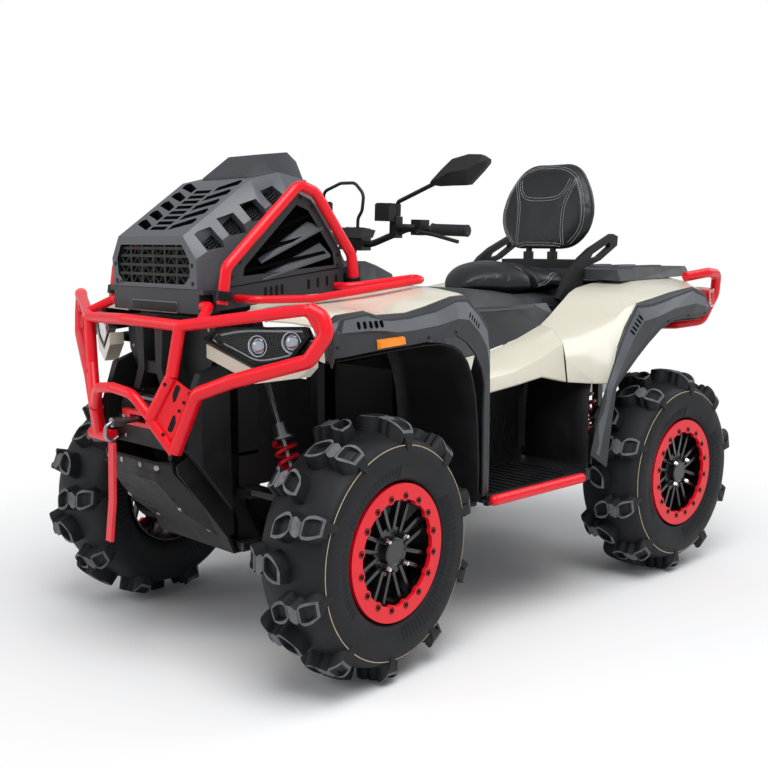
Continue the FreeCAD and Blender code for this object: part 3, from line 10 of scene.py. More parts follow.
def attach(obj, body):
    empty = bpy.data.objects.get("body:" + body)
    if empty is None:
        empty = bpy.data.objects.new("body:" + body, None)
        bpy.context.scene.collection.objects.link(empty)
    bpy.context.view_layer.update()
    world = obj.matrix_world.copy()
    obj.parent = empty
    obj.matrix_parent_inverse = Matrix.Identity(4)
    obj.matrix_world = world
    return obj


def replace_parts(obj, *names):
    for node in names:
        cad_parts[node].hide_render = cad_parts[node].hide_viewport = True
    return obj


# Quad bike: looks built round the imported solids, in their frame. Lengths here are in mm, the objects in metres.
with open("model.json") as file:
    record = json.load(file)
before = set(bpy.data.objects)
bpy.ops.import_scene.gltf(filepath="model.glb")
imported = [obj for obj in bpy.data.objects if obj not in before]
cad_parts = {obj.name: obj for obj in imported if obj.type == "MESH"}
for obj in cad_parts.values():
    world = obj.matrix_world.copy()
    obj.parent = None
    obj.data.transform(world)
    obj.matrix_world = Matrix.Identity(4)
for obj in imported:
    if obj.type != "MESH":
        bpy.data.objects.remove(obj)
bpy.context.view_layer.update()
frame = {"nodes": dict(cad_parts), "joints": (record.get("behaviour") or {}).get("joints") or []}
NODES = frame["nodes"]
SCENE = bpy.context.scene
MM = 0.001
X, Y, Z = np.eye(3)
SIDES = (1, -1)
BLACK, GREY, METAL = "black_plastic", "charcoal_plastic", "bare_steel"
REST_STEER = radians(6.0)
STEM_LEAN = radians(22.0)
STEM_TOP = np.array([285.0, 0.0, 1215.0])

# Materials


def linear(code):
    """sRGB hex to a linear colour with alpha."""
    rgb = [int(code[i:i + 2], 16) / 255 for i in (0, 2, 4)]
    return (*[c / 12.92 if c <= 0.04045 else ((c + 0.055) / 1.055) ** 2.4 for c in rgb], 1.0)


def add(tree, kind, settings=None, links=None):
    """One shader node with its settings and the links into its sockets; gives its outputs."""
    node = tree.nodes.new("ShaderNode" + kind)
    for key, value in (settings or {}).items():
        if isinstance(key, str) and hasattr(node, key):
            setattr(node, key, value)
        else:
            node.inputs[key].default_value = value
    for key, source in (links or {}).items():
        tree.links.new(source, node.inputs[key])
    return node.outputs


def blank(name):
    """A new material, its nodes and its shader."""
    mat = bpy.data.materials.new(name)
    mat.use_nodes = True
    return mat, mat.node_tree, mat.node_tree.nodes["Principled BSDF"]


def finish(name, code, rough, grain=0.0, grain_mm=1.0, drift=0.12, drift_mm=60.0, metallic=0.0, coat=0.0, ior=1.5,
           sheen=0.0, transmission=0.0, rough_drift=0.08, pattern="noise"):
    """A surface: colour and roughness drift over drift_mm, and a grain of size grain_mm stands as bump.

    The pattern is noise, cells, or the axis of ribs. A grain too fine for the picture is drawn as coarse as it needs.
    """
    mat, tree, shader = blank(name)
    place = {"Vector": add(tree, "TexCoord")["Object"]}
    cloud = add(tree, "TexNoise", {"Scale": 1000.0 / drift_mm, "Detail": 4.0}, place)["Fac"]
    shades = add(tree, "ValToRGB", links={"Fac": cloud})
    stops = shades[0].node.color_ramp.elements
    stops.new(0.5)
    for stop, at, share in zip(stops, (0.3, 0.5, 0.72), (1 - drift, 1, 1 + drift)):
        stop.position = at
        stop.color = (*[min(1.0, c * share) for c in linear(code)[:3]], 1.0)
    to = {"From Min": 0.3, "From Max": 0.7, "To Min": max(0.02, rough - rough_drift), "To Max": rough + rough_drift}
    spread = add(tree, "MapRange", to, {"Value": cloud})
    tree.links.new(shades["Color"], shader.inputs["Base Color"])
    tree.links.new(spread["Result"], shader.inputs["Roughness"])
    for key, value in (("Metallic", metallic), ("Coat Weight", coat), ("Coat Roughness", 0.06 if coat else 0.03),
                       ("Sheen Weight", sheen), ("Transmission Weight", transmission), ("IOR", ior)):
        shader.inputs[key].default_value = value
    if grain:
        scale = 1000.0 / grain_mm
        texture, settings, socket = {
            "noise": ("TexNoise", {"Scale": scale, "Detail": 3.0}, "Fac"),
            "cells": ("TexVoronoi", {"Scale": scale, "feature": "SMOOTH_F1"}, "Distance"),
        }.get(pattern, ("TexWave", {"Scale": scale / 6.283, "bands_direction": pattern}, "Fac"))
        height = add(tree, texture, settings, place)[socket]
        bump = add(tree, "Bump", {"Strength": grain, "Distance": 0.0006}, {"Height": height})
        tree.links.new(bump["Normal"], shader.inputs["Normal"])
    return mat


# In a row: name, colour, roughness, the grain's height and mm, the drift and its mm
# Painted ABS shows a clear gloss over faint orange peel; moulded ABS and polypropylene are dull and grained
IVORY = finish("ivory_painted_abs", "D3CFBE", 0.3, 0.05, 7, 0.02, 300, coat=0.4)
# Charcoal is the deck pads' grey; on the flares' upper facets it is painted light, a lit copy of their dark plastic
CHARCOAL_AND_PAINTED_LIGHT = finish("charcoal_polypropylene_and_painted_light", "54585D", 0.42, 0.22, 1.4, 0.1, 90)
SHROUD = finish("charcoal_satin_abs", "4B4F54", 0.4, 0.14, 1.2, 0.08, 120)
BLACK_PP = finish("black_moulded_polypropylene", "161618", 0.52, 0.2, 1.6, 0.15, ior=1.42)
SKIRT = finish("dark_grained_polypropylene", "2A2D31", 0.46, 0.2, 1.8, 0.1, 80)
# Painted shade: a matt near-black that hardly gleams, for the shroud's hollows, the covers' recesses and the flare
# slots
PAINTED_SHADE_BLACK = finish("painted_shade_black", "050506", 0.9, ior=1.12)
# Black of the lamp housings and reservoir caps, and painted shade in the inlays that stand for slots and holes
LAMP_BLACK_AND_HOLE_SHADE = finish("black_lamp_housing_and_painted_hole_shade", "08080A", 0.34, ior=1.3)
PLATE = finish("blank_black_nameplate", "0A0A0B", 0.3, 0.05, ior=1.35)
# Powder coat is an even satin skin in slight waves; the gloss paint of cast rims mirrors more
RED = finish("red_powder_coated_steel", "E60E22", 0.34, 0.1, 2.5, 0.05, 150, coat=0.15, ior=1.38)
FRAME_BLACK = finish("black_powder_coated_steel", "131314", 0.42, 0.12, 2, coat=0.1)
RIM_BLACK = finish("black_gloss_cast_aluminium", "0F0F11", 0.28, 0.05, 3, coat=0.4)
# Rubber is matt: dust greys it, and the lugs' tops are paler, partly dust and partly a painted sheen
RUBBER = finish("tyre_rubber", "17181B", 0.62, 0.25, 1.6, 0.22, 70, ior=1.38)
DUST_AND_SHEEN_RUBBER = finish("dusty_tyre_rubber_and_painted_sheen", "606165", 0.82, 0.35, 2.2, 0.3, 18)
CREAM = finish("cream_rubber_line", "B9A98A", 0.7, 0.1, 1, 0.2, 30)
GRIP = finish("grip_rubber", "17171A", 0.7, 0.8, 5, pattern="cells")
# Bare metals mirror their surroundings: chrome sharply, zinc and black oxide softly, castings broken by their skin
CHROME = finish("chromed_steel", "D6D8DA", 0.1, drift=0.04, metallic=1, rough_drift=0.04)
STEEL = finish("zinc_plated_steel", "9B9C9E", 0.34, 0.08, 2, 0.12, 25, metallic=1)
CAST = finish("cast_aluminium", "77797C", 0.5, 0.3, 2.2, 0.15, 30, metallic=0.9)
DARK_STEEL = finish("black_oxide_steel", "1B1B1D", 0.38, 0.1, 2, metallic=0.6)
SCREEN = finish("black_wire_cloth", "1A1A1C", 0.5, metallic=0.3)
# Vinyl has small leather cells and a soft gleam; thread and webbing are matt, with the weave across
VINYL = finish("black_seat_vinyl", "17181B", 0.42, 0.3, 2.4, ior=1.45, pattern="cells")
THREAD = finish("white_polyester_thread", "B4B6B8", 0.7, 0.2, 0.8)
WEBBING = finish("red_polyester_webbing", "E01B2C", 0.75, 0.6, 3, 0.08, sheen=0.3, pattern="Z")
# Lenses and glass gleam: the coloured acrylics show flutes, the clear and smoked ones what is behind
GLASS = finish("clear_polycarbonate", "F2F4F6", 0.03, drift=0, ior=1.22, transmission=1, rough_drift=0.01)
AMBER = finish("amber_acrylic", "F58A1E", 0.16, 0.5, 5, 0.05, coat=0.6, pattern="X")
LENS_RED = finish("red_acrylic", "C3101A", 0.14, 0.5, 6, 0.05, coat=0.6, pattern="Z")
PROJECTOR = finish("projector_glass", "AEB6BE", 0.05, drift=0, metallic=0.8, rough_drift=0.02)
MIRROR = finish("mirror_glass", "C9CED3", 0.03, drift=0.02, metallic=1, rough_drift=0.01)
DISPLAY = finish("smoked_display_glass", "08090B", 0.06, drift=0, coat=1, rough_drift=0.02)

# Meshes


def placed(name, data, mats):
    """A new object of the scene, with its material or list of materials."""
    for m in mats if isinstance(mats, list) else [mats]:
        data.materials.append(m)
    obj = bpy.data.objects.new(name, data)
    SCENE.collection.objects.link(obj)
    return obj


def piece(name, verts, faces, mats, slot, sharp=35.0, body="root", kinds=None):
    """A mesh object from arrays in mm, faceted if sharp is None. kinds gives each face's place in mats."""
    mesh = bpy.data.meshes.new(name)
    mesh.from_pydata((np.reshape(verts, (-1, 3)) * MM).tolist(), [], [tuple(f) for f in faces])
    obj = placed(name, mesh, mats)
    if kinds is not None:
        mesh.polygons.foreach_set("material_index", np.array(kinds, np.int32))
    if sharp is not None:
        mesh.polygons.foreach_set("use_smooth", np.ones(len(mesh.polygons), bool))
        mesh.set_sharp_from_angle(angle=radians(sharp))
    mesh.update()
    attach(obj, body)
    return obj


def flip(faces):
    """Faces turned to look the other way."""
    return [list(f)[::-1] for f in faces]


def unit(v):
    """Vectors brought to length one."""
    return np.array(v, float) / np.linalg.norm(v, axis=-1, keepdims=True)


def circle(n):
    """Angles of n even steps round a circle."""
    return np.linspace(0, 2 * pi, n, endpoint=False)


def grid_faces(nu, nv, wrap_u=False, wrap_v=False):
    """Quads over a grid of nu by nv points stored row by row."""
    u = np.arange(nu if wrap_u else nu - 1)[:, None]
    v = np.arange(nv if wrap_v else nv - 1)[None, :]
    far, side = (u + 1) % nu * nv, (v + 1) % nv
    return np.stack([u * nv + v, u * nv + side, far + side, far + v], -1).reshape(-1, 4).tolist()


def tube_faces(rings, around):
    """Quads between rings of points, and both ends closed."""
    last = (rings - 1) * around
    return grid_faces(rings, around, wrap_v=True) + [list(range(around))[::-1], list(range(last, last + around))]


class Lump:
    """Arrays of several shapes gathered for one mesh."""

    def __init__(self):
        self.v, self.f, self.k, self.n = [], [], [], 0

    def put(self, verts, faces, kind=0):
        """Adds a shape; kind is one for all its faces or a list."""
        verts = np.reshape(verts, (-1, 3))
        self.v.append(verts)
        self.f += [[i + self.n for i in f] for f in faces]
        self.k += kind if isinstance(kind, list) else [kind] * len(faces)
        self.n += len(verts)

    def both(self, verts, faces, kind=0):
        """Adds a left-hand shape and its mirror image, turned right side out."""
        self.put(verts, faces, kind)
        self.put(np.reshape(verts, (-1, 3)) * (1, -1, 1), flip(faces), kind)

    def make(self, name, mats, slot, sharp=35.0, body="root"):
        """The mesh object."""
        return piece(name, np.concatenate(self.v), self.f, mats, slot, sharp, body, self.k)


def lumps(count):
    """Several empty lumps."""
    return [Lump() for _ in range(count)]


def revolved(profile, turns, closed=True):
    """Ring about local Y: each profile point (y, radius) is carried round a circle of `turns` steps."""
    p = np.array(profile, float)
    t = circle(turns)[:, None]
    v = np.stack([p[:, 1] * np.cos(t), np.broadcast_to(p[:, 0], (turns, len(p))), p[:, 1] * np.sin(t)], -1)
    return v.reshape(-1, 3), grid_faces(turns, len(p), wrap_u=True, wrap_v=closed)


def spline(points, count):
    """Catmull-Rom curve through points, as count samples spaced evenly in its parameter."""
    p = np.array(points, float)
    s = np.linspace(0, len(p) - 1, count)
    i = np.minimum(np.floor(s).astype(int), len(p) - 2)
    e = np.concatenate([[2 * p[0] - p[1]], p, [2 * p[-1] - p[-2]]])
    q = [e[i + k] for k in range(4)]
    t = (s - i)[:, None]
    return 0.5 * (2 * q[1] + (q[2] - q[0]) * t + (2 * q[0] - 5 * q[1] + 4 * q[2] - q[3]) * t ** 2
                  + (3 * q[1] - q[0] - 3 * q[2] + q[3]) * t ** 3)


def tube(path, radius, sides=12):
    """Round bar: a circle of the given radius (one, or one for each point) carried along the path, ends closed.

    Each circle lies across the path and starts from one fixed vector, so that it doesn't twist.
    """
    p = np.array(path, float)
    t = unit(np.gradient(p, axis=0))
    ref = np.array([0.3, 1.0, 0.1]) if np.abs(t @ Z).max() > 0.95 else Z
    a = unit(np.cross(t, ref))
    b = np.cross(a, t)
    w = circle(sides)[None, :, None]
    r = np.broadcast_to(np.array(radius, float), (len(p),))[:, None, None]
    return p[:, None] + r * (a[:, None] * np.cos(w) + b[:, None] * np.sin(w)), flip(tube_faces(len(p), sides))


def bar(a, b, radius, sides=12):
    """Straight round bar from a to b."""
    return tube([a, (np.array(a, float) + b) / 2, b], radius, sides)


def prism(outline, way):
    """Closed flat outline swept straight along a way."""
    o = np.array(outline, float)
    faces = tube_faces(2, len(o))
    if np.cross(o, np.roll(o, -1, axis=0)).sum(0) @ way < 0:
        faces = flip(faces)
    return np.concatenate([o, o + way]), faces


def slab(centre, u, v, n, half_u, half_v, deep, round_off, corners=4):
    """Rounded-rectangle plate: its outline lies in directions u and v round centre, its depth along n."""
    c, u, v, n = np.array([centre, u, v, n], float)
    r = round_off * min(half_u, half_v)
    pts = []
    for k, (sx, sy) in enumerate(((1, 1), (-1, 1), (-1, -1), (1, -1))):
        for a in (radians(90 * (k + j / corners)) for j in range(corners + 1)):
            pts.append(c + u * (sx * (half_u - r) + r * cos(a)) + v * (sy * (half_v - r) + r * sin(a)))
    return prism(pts, n * deep)


def lathe(lump, profile, centre, axis, turns=32):
    """A closed turned shape: its profile (height along the axis, radius) is carried round the axis."""
    v, f = revolved(profile, turns, closed=False)
    aim = Vector(Y).rotation_difference(Vector(axis)).to_matrix()
    lump.put(v @ np.array(aim).T + centre, f)


def screws(lump, places, normals, radius, height, dome=True):
    """Bolt heads, domed or six-sided, that stand on their places along their normals."""
    for p, n in zip(places, unit(normals)):
        if dome:
            path = [p + n * height * h for h in (-0.4, 0.35, 0.8, 1)]
            lump.put(*tube(path, radius * np.array([1, 1, 0.72, 0.2]), 14))
        else:
            lump.put(*bar(p - n * height * 0.5, p + n * height, radius, 6))


def islands(bm):
    """Groups of faces that hang together, largest first."""
    left = set(bm.faces)
    groups = []
    while left:
        group = [left.pop()]
        for f in group:
            near = {g for e in f.edges for g in e.link_faces} & left
            left -= near
            group += near
        groups.append(group)
    return sorted(groups, key=lambda g: -sum(f.calc_area() for f in g))


def dressed(node, mats, bevel, body="root", sort=None, only=None, name=None):
    """A copy of a CAD node that stands for it, with its edges bevelled by that many mm.

    Without a bevel its triangles are paired to quads, its hard edges creased and the rest smoothed by subdivision.
    sort gives a face its material from its centre; only is the place of the island of faces that is kept.
    """
    name = name or node + "_skin"
    bm = bmesh.new()
    bm.from_mesh(NODES[node].data)
    bmesh.ops.remove_doubles(bm, verts=bm.verts, dist=2e-5)
    if only is not None:
        keep = set(islands(bm)[only])
        bmesh.ops.delete(bm, geom=[f for f in bm.faces if f not in keep], context="FACES")
    if bevel:
        bmesh.ops.dissolve_limit(bm, angle_limit=radians(0.6), verts=bm.verts, edges=bm.edges)
    else:
        bmesh.ops.join_triangles(bm, faces=bm.faces, angle_face_threshold=radians(25),
                                 angle_shape_threshold=radians(60))
        crease = bm.edges.layers.float.new("crease_edge")
        for e in bm.edges:
            if len(e.link_faces) == 2 and e.calc_face_angle(0) > radians(40):
                e[crease] = 0.9
    for f in bm.faces:
        f.smooth = True
        if sort:
            f.material_index = sort(*(f.calc_center_median() / MM))
    mesh = bpy.data.meshes.new(name)
    bm.to_mesh(mesh)
    bm.free()
    obj = placed(name, mesh, mats)
    if bevel:
        edge_angle = radians(32)
        mesh.set_sharp_from_angle(angle=edge_angle)
        cut = obj.modifiers.new("edges", "BEVEL")
        cut.width = bevel * MM
        cut.segments = 2
        cut.limit_method = "ANGLE"
        cut.angle_limit = edge_angle
        cut.harden_normals = True
    else:
        sub = obj.modifiers.new("smooth", "SUBSURF")
        sub.levels = sub.render_levels = 1
    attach(obj, body)
    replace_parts(obj, node)
    return obj


# Wheels, made as left ones about the axle
TYRE_SECTION = [(-99, 181), (-113, 200), (-121, 222), (-124, 262), (-120, 293), (-105, 315), (-69, 328), (-30, 333.5),
                (30, 333.5), (69, 328), (105, 315), (120, 293), (124, 260), (121, 222), (113, 207.5), (100.5, 199.5)]
BEAD_R = 179
LUG_PAIRS = 10
LUG_WIDE = 1.22
# A lug from the middle outwards: y, radius of its top, half width of the top, spread of the foot
LUG_STATIONS = [
    (-24, 372, 12, 6), (-16, 374.8, 20, 7), (0, 375, 26.5, 8), (18, 374.8, 28, 8), (30, 374, 23, 7),
    (38, 373.5, 15, 7), (50, 372.5, 20.5, 7), (62, 371.2, 19.5, 7), (71, 370, 15, 7), (82, 368, 24, 8),
    (94, 364, 26.5, 8), (106, 356, 25, 8), (116.5, 343, 20.5, 7), (121.5, 326, 15, 6), (123.2, 308, 10, 5),
    (122.8, 290, 6, 4), (121.5, 274, 3, 3)]


def make_tyre():
    """Carcass with sidewall ribs, and paddle lugs with hollowed tops.

    Carcass: the section is carried round the axle; on each sidewall a rounded square wave round the wheel moves its
    points between two radii, as short ribs in four arcs.
    Lug: a path runs from the middle of the tread over the shoulder and down the sidewall, swept back as an arc. Each
    station has a top width, a wider foot and a height; the top sinks in two pockets and at two notches, and its faces
    outside the pockets are paler, partly dust and partly a painted sheen.
    """
    lump = Lump()
    turns, points = 480, 60
    rib_in, rib_out, rib_edge, rib_high, ribs = 207, 250, 6, 3.5, 96
    section = spline(TYRE_SECTION, points)
    t = circle(turns)[:, None]
    y, r = (np.broadcast_to(section[:, i], (turns, points)) for i in (0, 1))
    band = np.clip((r - rib_in) / rib_edge, 0, 1) * np.clip((rib_out - r) / rib_edge, 0, 1)
    arcs = np.sin(2 * t + 0.6) > -0.55
    wave = np.clip(np.sin(ribs * t + 0.04 * (r - 220)) * 2, -1, 1)
    y = y - np.sign(y) * band * arcs * (0.5 - 0.5 * wave) * rib_high
    lump.put(np.stack([r * np.cos(t), y, r * np.sin(t)], -1), flip(grid_faces(turns, points, wrap_u=True)))
    v, f = revolved([section[-1], (60, BEAD_R), (-60, BEAD_R), section[0]], 120, closed=False)
    lump.put(v, flip(f))
    # a lug: rows along its path, columns across it
    n = 65
    st = spline(LUG_STATIONS, n)
    across = np.array([-1, -0.93, -0.72, -0.62, -0.3, 0.0, 0.3, 0.62, 0.72, 0.93, 1])
    s = np.linspace(0, 1, n)
    pocket = np.zeros((n, len(across)))
    for lo, hi, deep in ((0.07, 0.27, 15), (0.55, 0.74, 12)):
        inside = np.clip((s - lo) / 0.022, 0, 1) * np.clip((hi - s) / 0.022, 0, 1)
        pocket += inside[:, None] * np.clip((0.70 - np.abs(across)) / 0.07, 0, 1) * deep
    notch = sum(np.exp(-((s - at) / 0.010) ** 2) * 7 for at in (0.315, 0.500))
    crown = section[(section[:, 0] > -1e-3) & (section[:, 1] > 285)]
    crown = crown[np.argsort(crown[:, 0])]
    sweep = (0.35 * np.sin(np.clip(s / 0.45, 0, 1) * pi) + np.clip(s - 0.12, 0, 1)) * radians(9.0)
    lean = np.clip((st[:, 0] - 96) / 26, 0, 1)
    under = np.interp(np.abs(st[:, 0]), crown[:, 0], crown[:, 1]) - 6
    top_r = st[:, 1:2] - notch[:, None] - pocket * (1 - lean[:, None])
    top_y = st[:, 0:1] - pocket * lean[:, None]
    foot_r = np.where(lean < 0.999, np.minimum(under, st[:, 1] - 6), st[:, 1] - 4)[:, None]
    foot_y = (st[:, 0] - 16 * lean)[:, None]
    foot = (LUG_WIDE * st[:, 2] + st[:, 3])[:, None] / foot_r
    turn = sweep[:, None] + np.concatenate([-foot, LUG_WIDE * st[:, 2:3] * across / top_r, foot], 1)
    radius = np.concatenate([foot_r, top_r, foot_r], 1)
    level = np.concatenate([foot_y, top_y, foot_y], 1)
    cols = radius.shape[1]
    faces = grid_faces(n, cols, wrap_v=True) + [list(range(cols)), list(range((n - 1) * cols, n * cols))[::-1]]
    # Lug-top faces outside the pockets take the second, paler material: partly dust, partly a painted sheen
    dust_and_sheen = [0] * len(faces)
    for i in np.flatnonzero(s[:-1] < 0.78):
        for j in range(1, cols - 2):
            if not pocket[i:i + 2, j - 1:j + 1].any():
                dust_and_sheen[i * cols + j] = 1
    for k in range(2 * LUG_PAIRS):
        hand = 1 if k % 2 == 0 else -1
        ang = radians(-90 + k * 180.0 / LUG_PAIRS) + turn
        rows = np.stack([radius * np.cos(ang), hand * level, radius * np.sin(ang)], -1)
        lump.put(rows, flip(faces) if hand == 1 else faces, dust_and_sheen)
    return lump


def round_axle(lump, profile, sides, count=1, radius=0.0, shift=0.0):
    """A turned shape repeated at even angles round the axle."""
    v, f = revolved(profile, sides, closed=False)
    for a in circle(count) + radians(shift):
        lump.put(v + radius * (X * cos(a) + Z * sin(a)), f)


def make_wheels():
    """Tyres, rims, clamp rings, bolts in their cups, nuts and caps."""
    line, bolts, nuts, cap = lumps(4)
    section = spline(TYRE_SECTION, 240)
    y, r = section[np.argmin(np.abs(section[:, 1] - 302) + 1000 * (section[:, 0] < 0))]
    line.put(*revolved([(y + 0.8, r - 1.2), (y + 1.1, r), (y + 0.4, r + 1.2), (y - 2, r)], 240))
    ring = {"count": 16, "radius": 160, "shift": 11.25}
    round_axle(bolts, [(109.3, 0), (109.3, 7.8), (113.9, 8.2), (113.9, 10.5), (113, 10.5)], 20, **ring)
    round_axle(bolts, [(109.3, 0), (109.3, 6.2), (116.8, 6), (117.8, 5), (117.8, 3), (114.3, 3), (114.3, 0)], 6,
               **ring)
    round_axle(nuts, [(86, 0), (86, 9.8), (106, 9.8), (109, 7.5), (114, 6.8), (117, 4), (117, 0)], 6,
               count=4, radius=55, shift=45)
    round_axle(cap, [(90, 0), (90, 40), (94, 41.2), (100.5, 40.5), (102.5, 38), (102.8, 34), (101.5, 32.5),
                     (101.5, 0)], 64)
    kinds = (("tread_", make_tyre(), [RUBBER, DUST_AND_SHEEN_RUBBER], "tyre_rubber", 40), ("line_", line, CREAM, "tyre_rubber", 35),
             ("cap_", cap, RIM_BLACK, "rim_black", 35), ("bolts_", bolts, DARK_STEEL, METAL, 35),
             ("nuts_", nuts, CHROME, METAL, 35))
    centres = {j["name"]: j["pos_m"] for j in frame["joints"]}
    for where in ("front_left", "front_right", "rear_left", "rear_right"):
        body = "wheel_" + where
        steer = REST_STEER if where.startswith("front") else 0.0
        turn = np.array(Matrix.Rotation(steer, 3, "Z"))
        left = where.endswith("left")
        for start, lump, mats, slot, sharp in kinds:
            v = np.concatenate(lump.v) * (1, 1 if left else -1, 1) @ turn.T + np.array(centres[body + "_spin"]) / MM
            obj = piece(start + where, v, lump.f if left else flip(lump.f), mats, slot, sharp, body, lump.k)
            if start == "tread_":
                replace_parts(obj, "tyre_" + where)
        dressed("rim_" + where, RIM_BLACK, 1.2, body, only=0, name="rim_face_" + where)
        dressed("rim_" + where, RED, 1.0, body, only=1, name="clamp_ring_" + where)


make_wheels()

# Everything else starts from its solid


def inside_shroud(x, y, z):
    """Painted shade where a face lies well under the shroud's sloping top or behind its grille, whose bars are black.
    """
    under = 1250 + (1072 - x) * 0.723 - z
    deep = 4 < under < 200 and abs(y) < 175 and 845 < x < 1062 and z > 1200
    grille = 1045 < x < 1074.5 and abs(y) < 192 and 1108 < z < 1226
    return 2 if grille and x > 1063.5 else int(deep or grille)


def inside_cover(x, y, z):
    """Painted shade where a face lies within the side cover's recess, whose outline is convex."""
    edge = [(950, 1135), (945, 1160), (755, 1335), (712, 1320), (620, 1200), (612, 1160)]
    within = all((c - a) * (z - b) - (d - b) * (x - a) > -600 for (a, b), (c, d) in zip(edge, edge[1:] + edge[:1]))
    return int(within and 243 < abs(y) < 265.5)


for mats, slot, bevel, names in (
        (IVORY, "ivory_plastic", 2.0, "front_body rear_body"),
        (SKIRT, GREY, 2.0, "radiator_tray front_flares rear_flares"),
        (SKIRT, BLACK, 4.0, "seat_skirt"), (SKIRT, BLACK, 3.0, "rear_rack"),
        (BLACK_PP, BLACK, 1.5, "front_fascia footwells rear_mudguard controls"),
        (BLACK_PP, GREY, 2.0, "skid_plate"), (BLACK_PP, BLACK, 3.0, "grab_handles"),
        (BLACK_PP, BLACK, 0, "inner_fenders"), (LAMP_BLACK_AND_HOLE_SHADE, "lamp_housing", 1.5, "headlight_housings"),
        (LENS_RED, "red_lens", 2.0, "tail_lamps"), (AMBER, "amber_lens", 1.5, "marker_lamps")):
    for node in names.split():
        dressed(node, mats, bevel, "handlebar" if node == "controls" else "root")
# Hollows under the shroud's top and behind its grille, and the side covers' recesses, take painted shade
dressed("radiator_shroud", [SHROUD, PAINTED_SHADE_BLACK, BLACK_PP], 3.0, sort=inside_shroud)
dressed("shroud_covers", [SKIRT, PAINTED_SHADE_BLACK], 2.0, sort=inside_cover)
dressed("side_panels", [IVORY, SKIRT], 1.2, sort=lambda x, y, z: int(x > 262))
dressed("winch", [BLACK_PP, STEEL], 1.5, sort=lambda x, y, z: int(x > 1150))
for mat, names in (
        (RED, "front_bumper front_rack side_bars rear_bumper"),
        (FRAME_BLACK, "frame_left frame_right frame_cross_members receiver footwell_supports suspension_arms"),
        (FRAME_BLACK, "handlebar"),
        (CAST, "knuckle_left knuckle_right rear_hub_carriers"),
        (STEEL, "tie_rod_left tie_rod_right half_shafts shock_bodies silencer"),
        (BLACK_PP, "mirrors radiator_core engine_and_drives"), (GLASS, "headlight_lenses"), (WEBBING, "winch_strap")):
    for node in names.split():
        NODES[node].data.materials.clear()
        NODES[node].data.materials.append(mat)

# Seats and backrest
RIDER = [(-199, 1060, 34, 1052), (-225, 1088, 64, 1048), (-262, 1115, 94, 1043), (-310, 1135, 130, 1036),
         (-340, 1142, 152, 1032), (-400, 1148, 180, 1032), (-454, 1146, 190, 1032)]
PASSENGER = [(-459, 1144, 192, 1032), (-500, 1138, 202, 1043), (-560, 1128, 208, 1043), (-620, 1120, 202, 1043),
             (-657, 1122, 180, 1043)]
BACKREST = [(1188, -708, 124, 52), (1215, -714, 174, 68), (1262, -720, 214, 78), (1320, -726, 230, 82),
            (1385, -736, 221, 80), (1445, -750, 194, 74), (1500, -768, 152, 64), (1534, -790, 98, 40)]
BACK_EDGE = [(-710, 140, 1205), (-715, 192, 1262), (-720, 205, 1320), (-730, 197, 1385), (-750, 170, 1445),
             (-770, 120, 1497)]
BACK_YOKE = [(-740, 128, 1478), (-720, 108, 1425), (-710, 60, 1396)]
SEAMS = {
    "rider_cushion": [[(-452, y, 1150) for y in (-170, -100, 0, 100, 170)]],
    "passenger_cushion": [[(-470, s * 203, 1045), (-510, s * 200, 1072), (-575, s * 178, 1100),
                           (-645, s * 150, 1115)][::s] for s in SIDES],
    "backrest_cushion": [[(-700, s * 118, 1200), (-700, s * 110, 1284), (-710, s * 114, 1370), (-730, s * 139, 1440),
                          (-750, s * 160, 1478)] for s in SIDES]
    + [[(x, -y, z) for x, y, z in BACK_YOKE] + BACK_YOKE[::-1],
       [(-700, -112, 1203), (-700, -60, 1212), (-700, 60, 1212), (-700, 112, 1203)],
       [(x, -y, z) for x, y, z in BACK_EDGE] + [(-780, 0, 1516)] + BACK_EDGE[::-1]]}


def coords(mesh, what="co"):
    """The places or the normals of a mesh's points as an array, in metres."""
    out = np.empty(len(mesh.vertices) * 3)
    mesh.vertices.foreach_get(what, out)
    return out.reshape(-1, 3)


def set_points(mesh, points):
    """Points put back into a mesh."""
    mesh.vertices.foreach_set("co", points.ravel())
    mesh.update()


def puffed(obj, most):
    """A mesh evened to small squares and blown up from inside as cloth; no point moves further than most."""
    even = obj.modifiers.new("even", "REMESH")
    even.mode = "VOXEL"
    even.voxel_size = 6 * MM
    graph = bpy.context.evaluated_depsgraph_get()
    mesh = bpy.data.meshes.new_from_object(obj.evaluated_get(graph), depsgraph=graph)
    obj.modifiers.clear()
    obj.data = mesh
    start = coords(mesh)
    air = obj.modifiers.new("air", "CLOTH").settings
    air.use_pressure = True
    air.uniform_pressure_force = 4.0
    air.effector_weights.gravity = 0.0
    air.quality = 5
    for frame_number in range(1, 21):
        SCENE.frame_set(frame_number)
    blown = obj.evaluated_get(bpy.context.evaluated_depsgraph_get())
    move = coords(blown.to_mesh()) - start
    blown.to_mesh_clear()
    obj.modifiers.clear()
    SCENE.frame_set(1)
    size = np.linalg.norm(move, axis=1, keepdims=True)
    return start + move * np.minimum(1.0, most * MM / np.maximum(size, 1e-9))


def laid(tree, line, count):
    """A guide line's points brought down to the nearest place of a surface, and the directions out of it."""
    hits = [tree.find_nearest(Vector(q), 0.06) for q in spline(np.array(line) * MM, count)]
    return (np.array([hit[i][:] for hit in hits if hit[0] is not None]) for i in (0, 1))


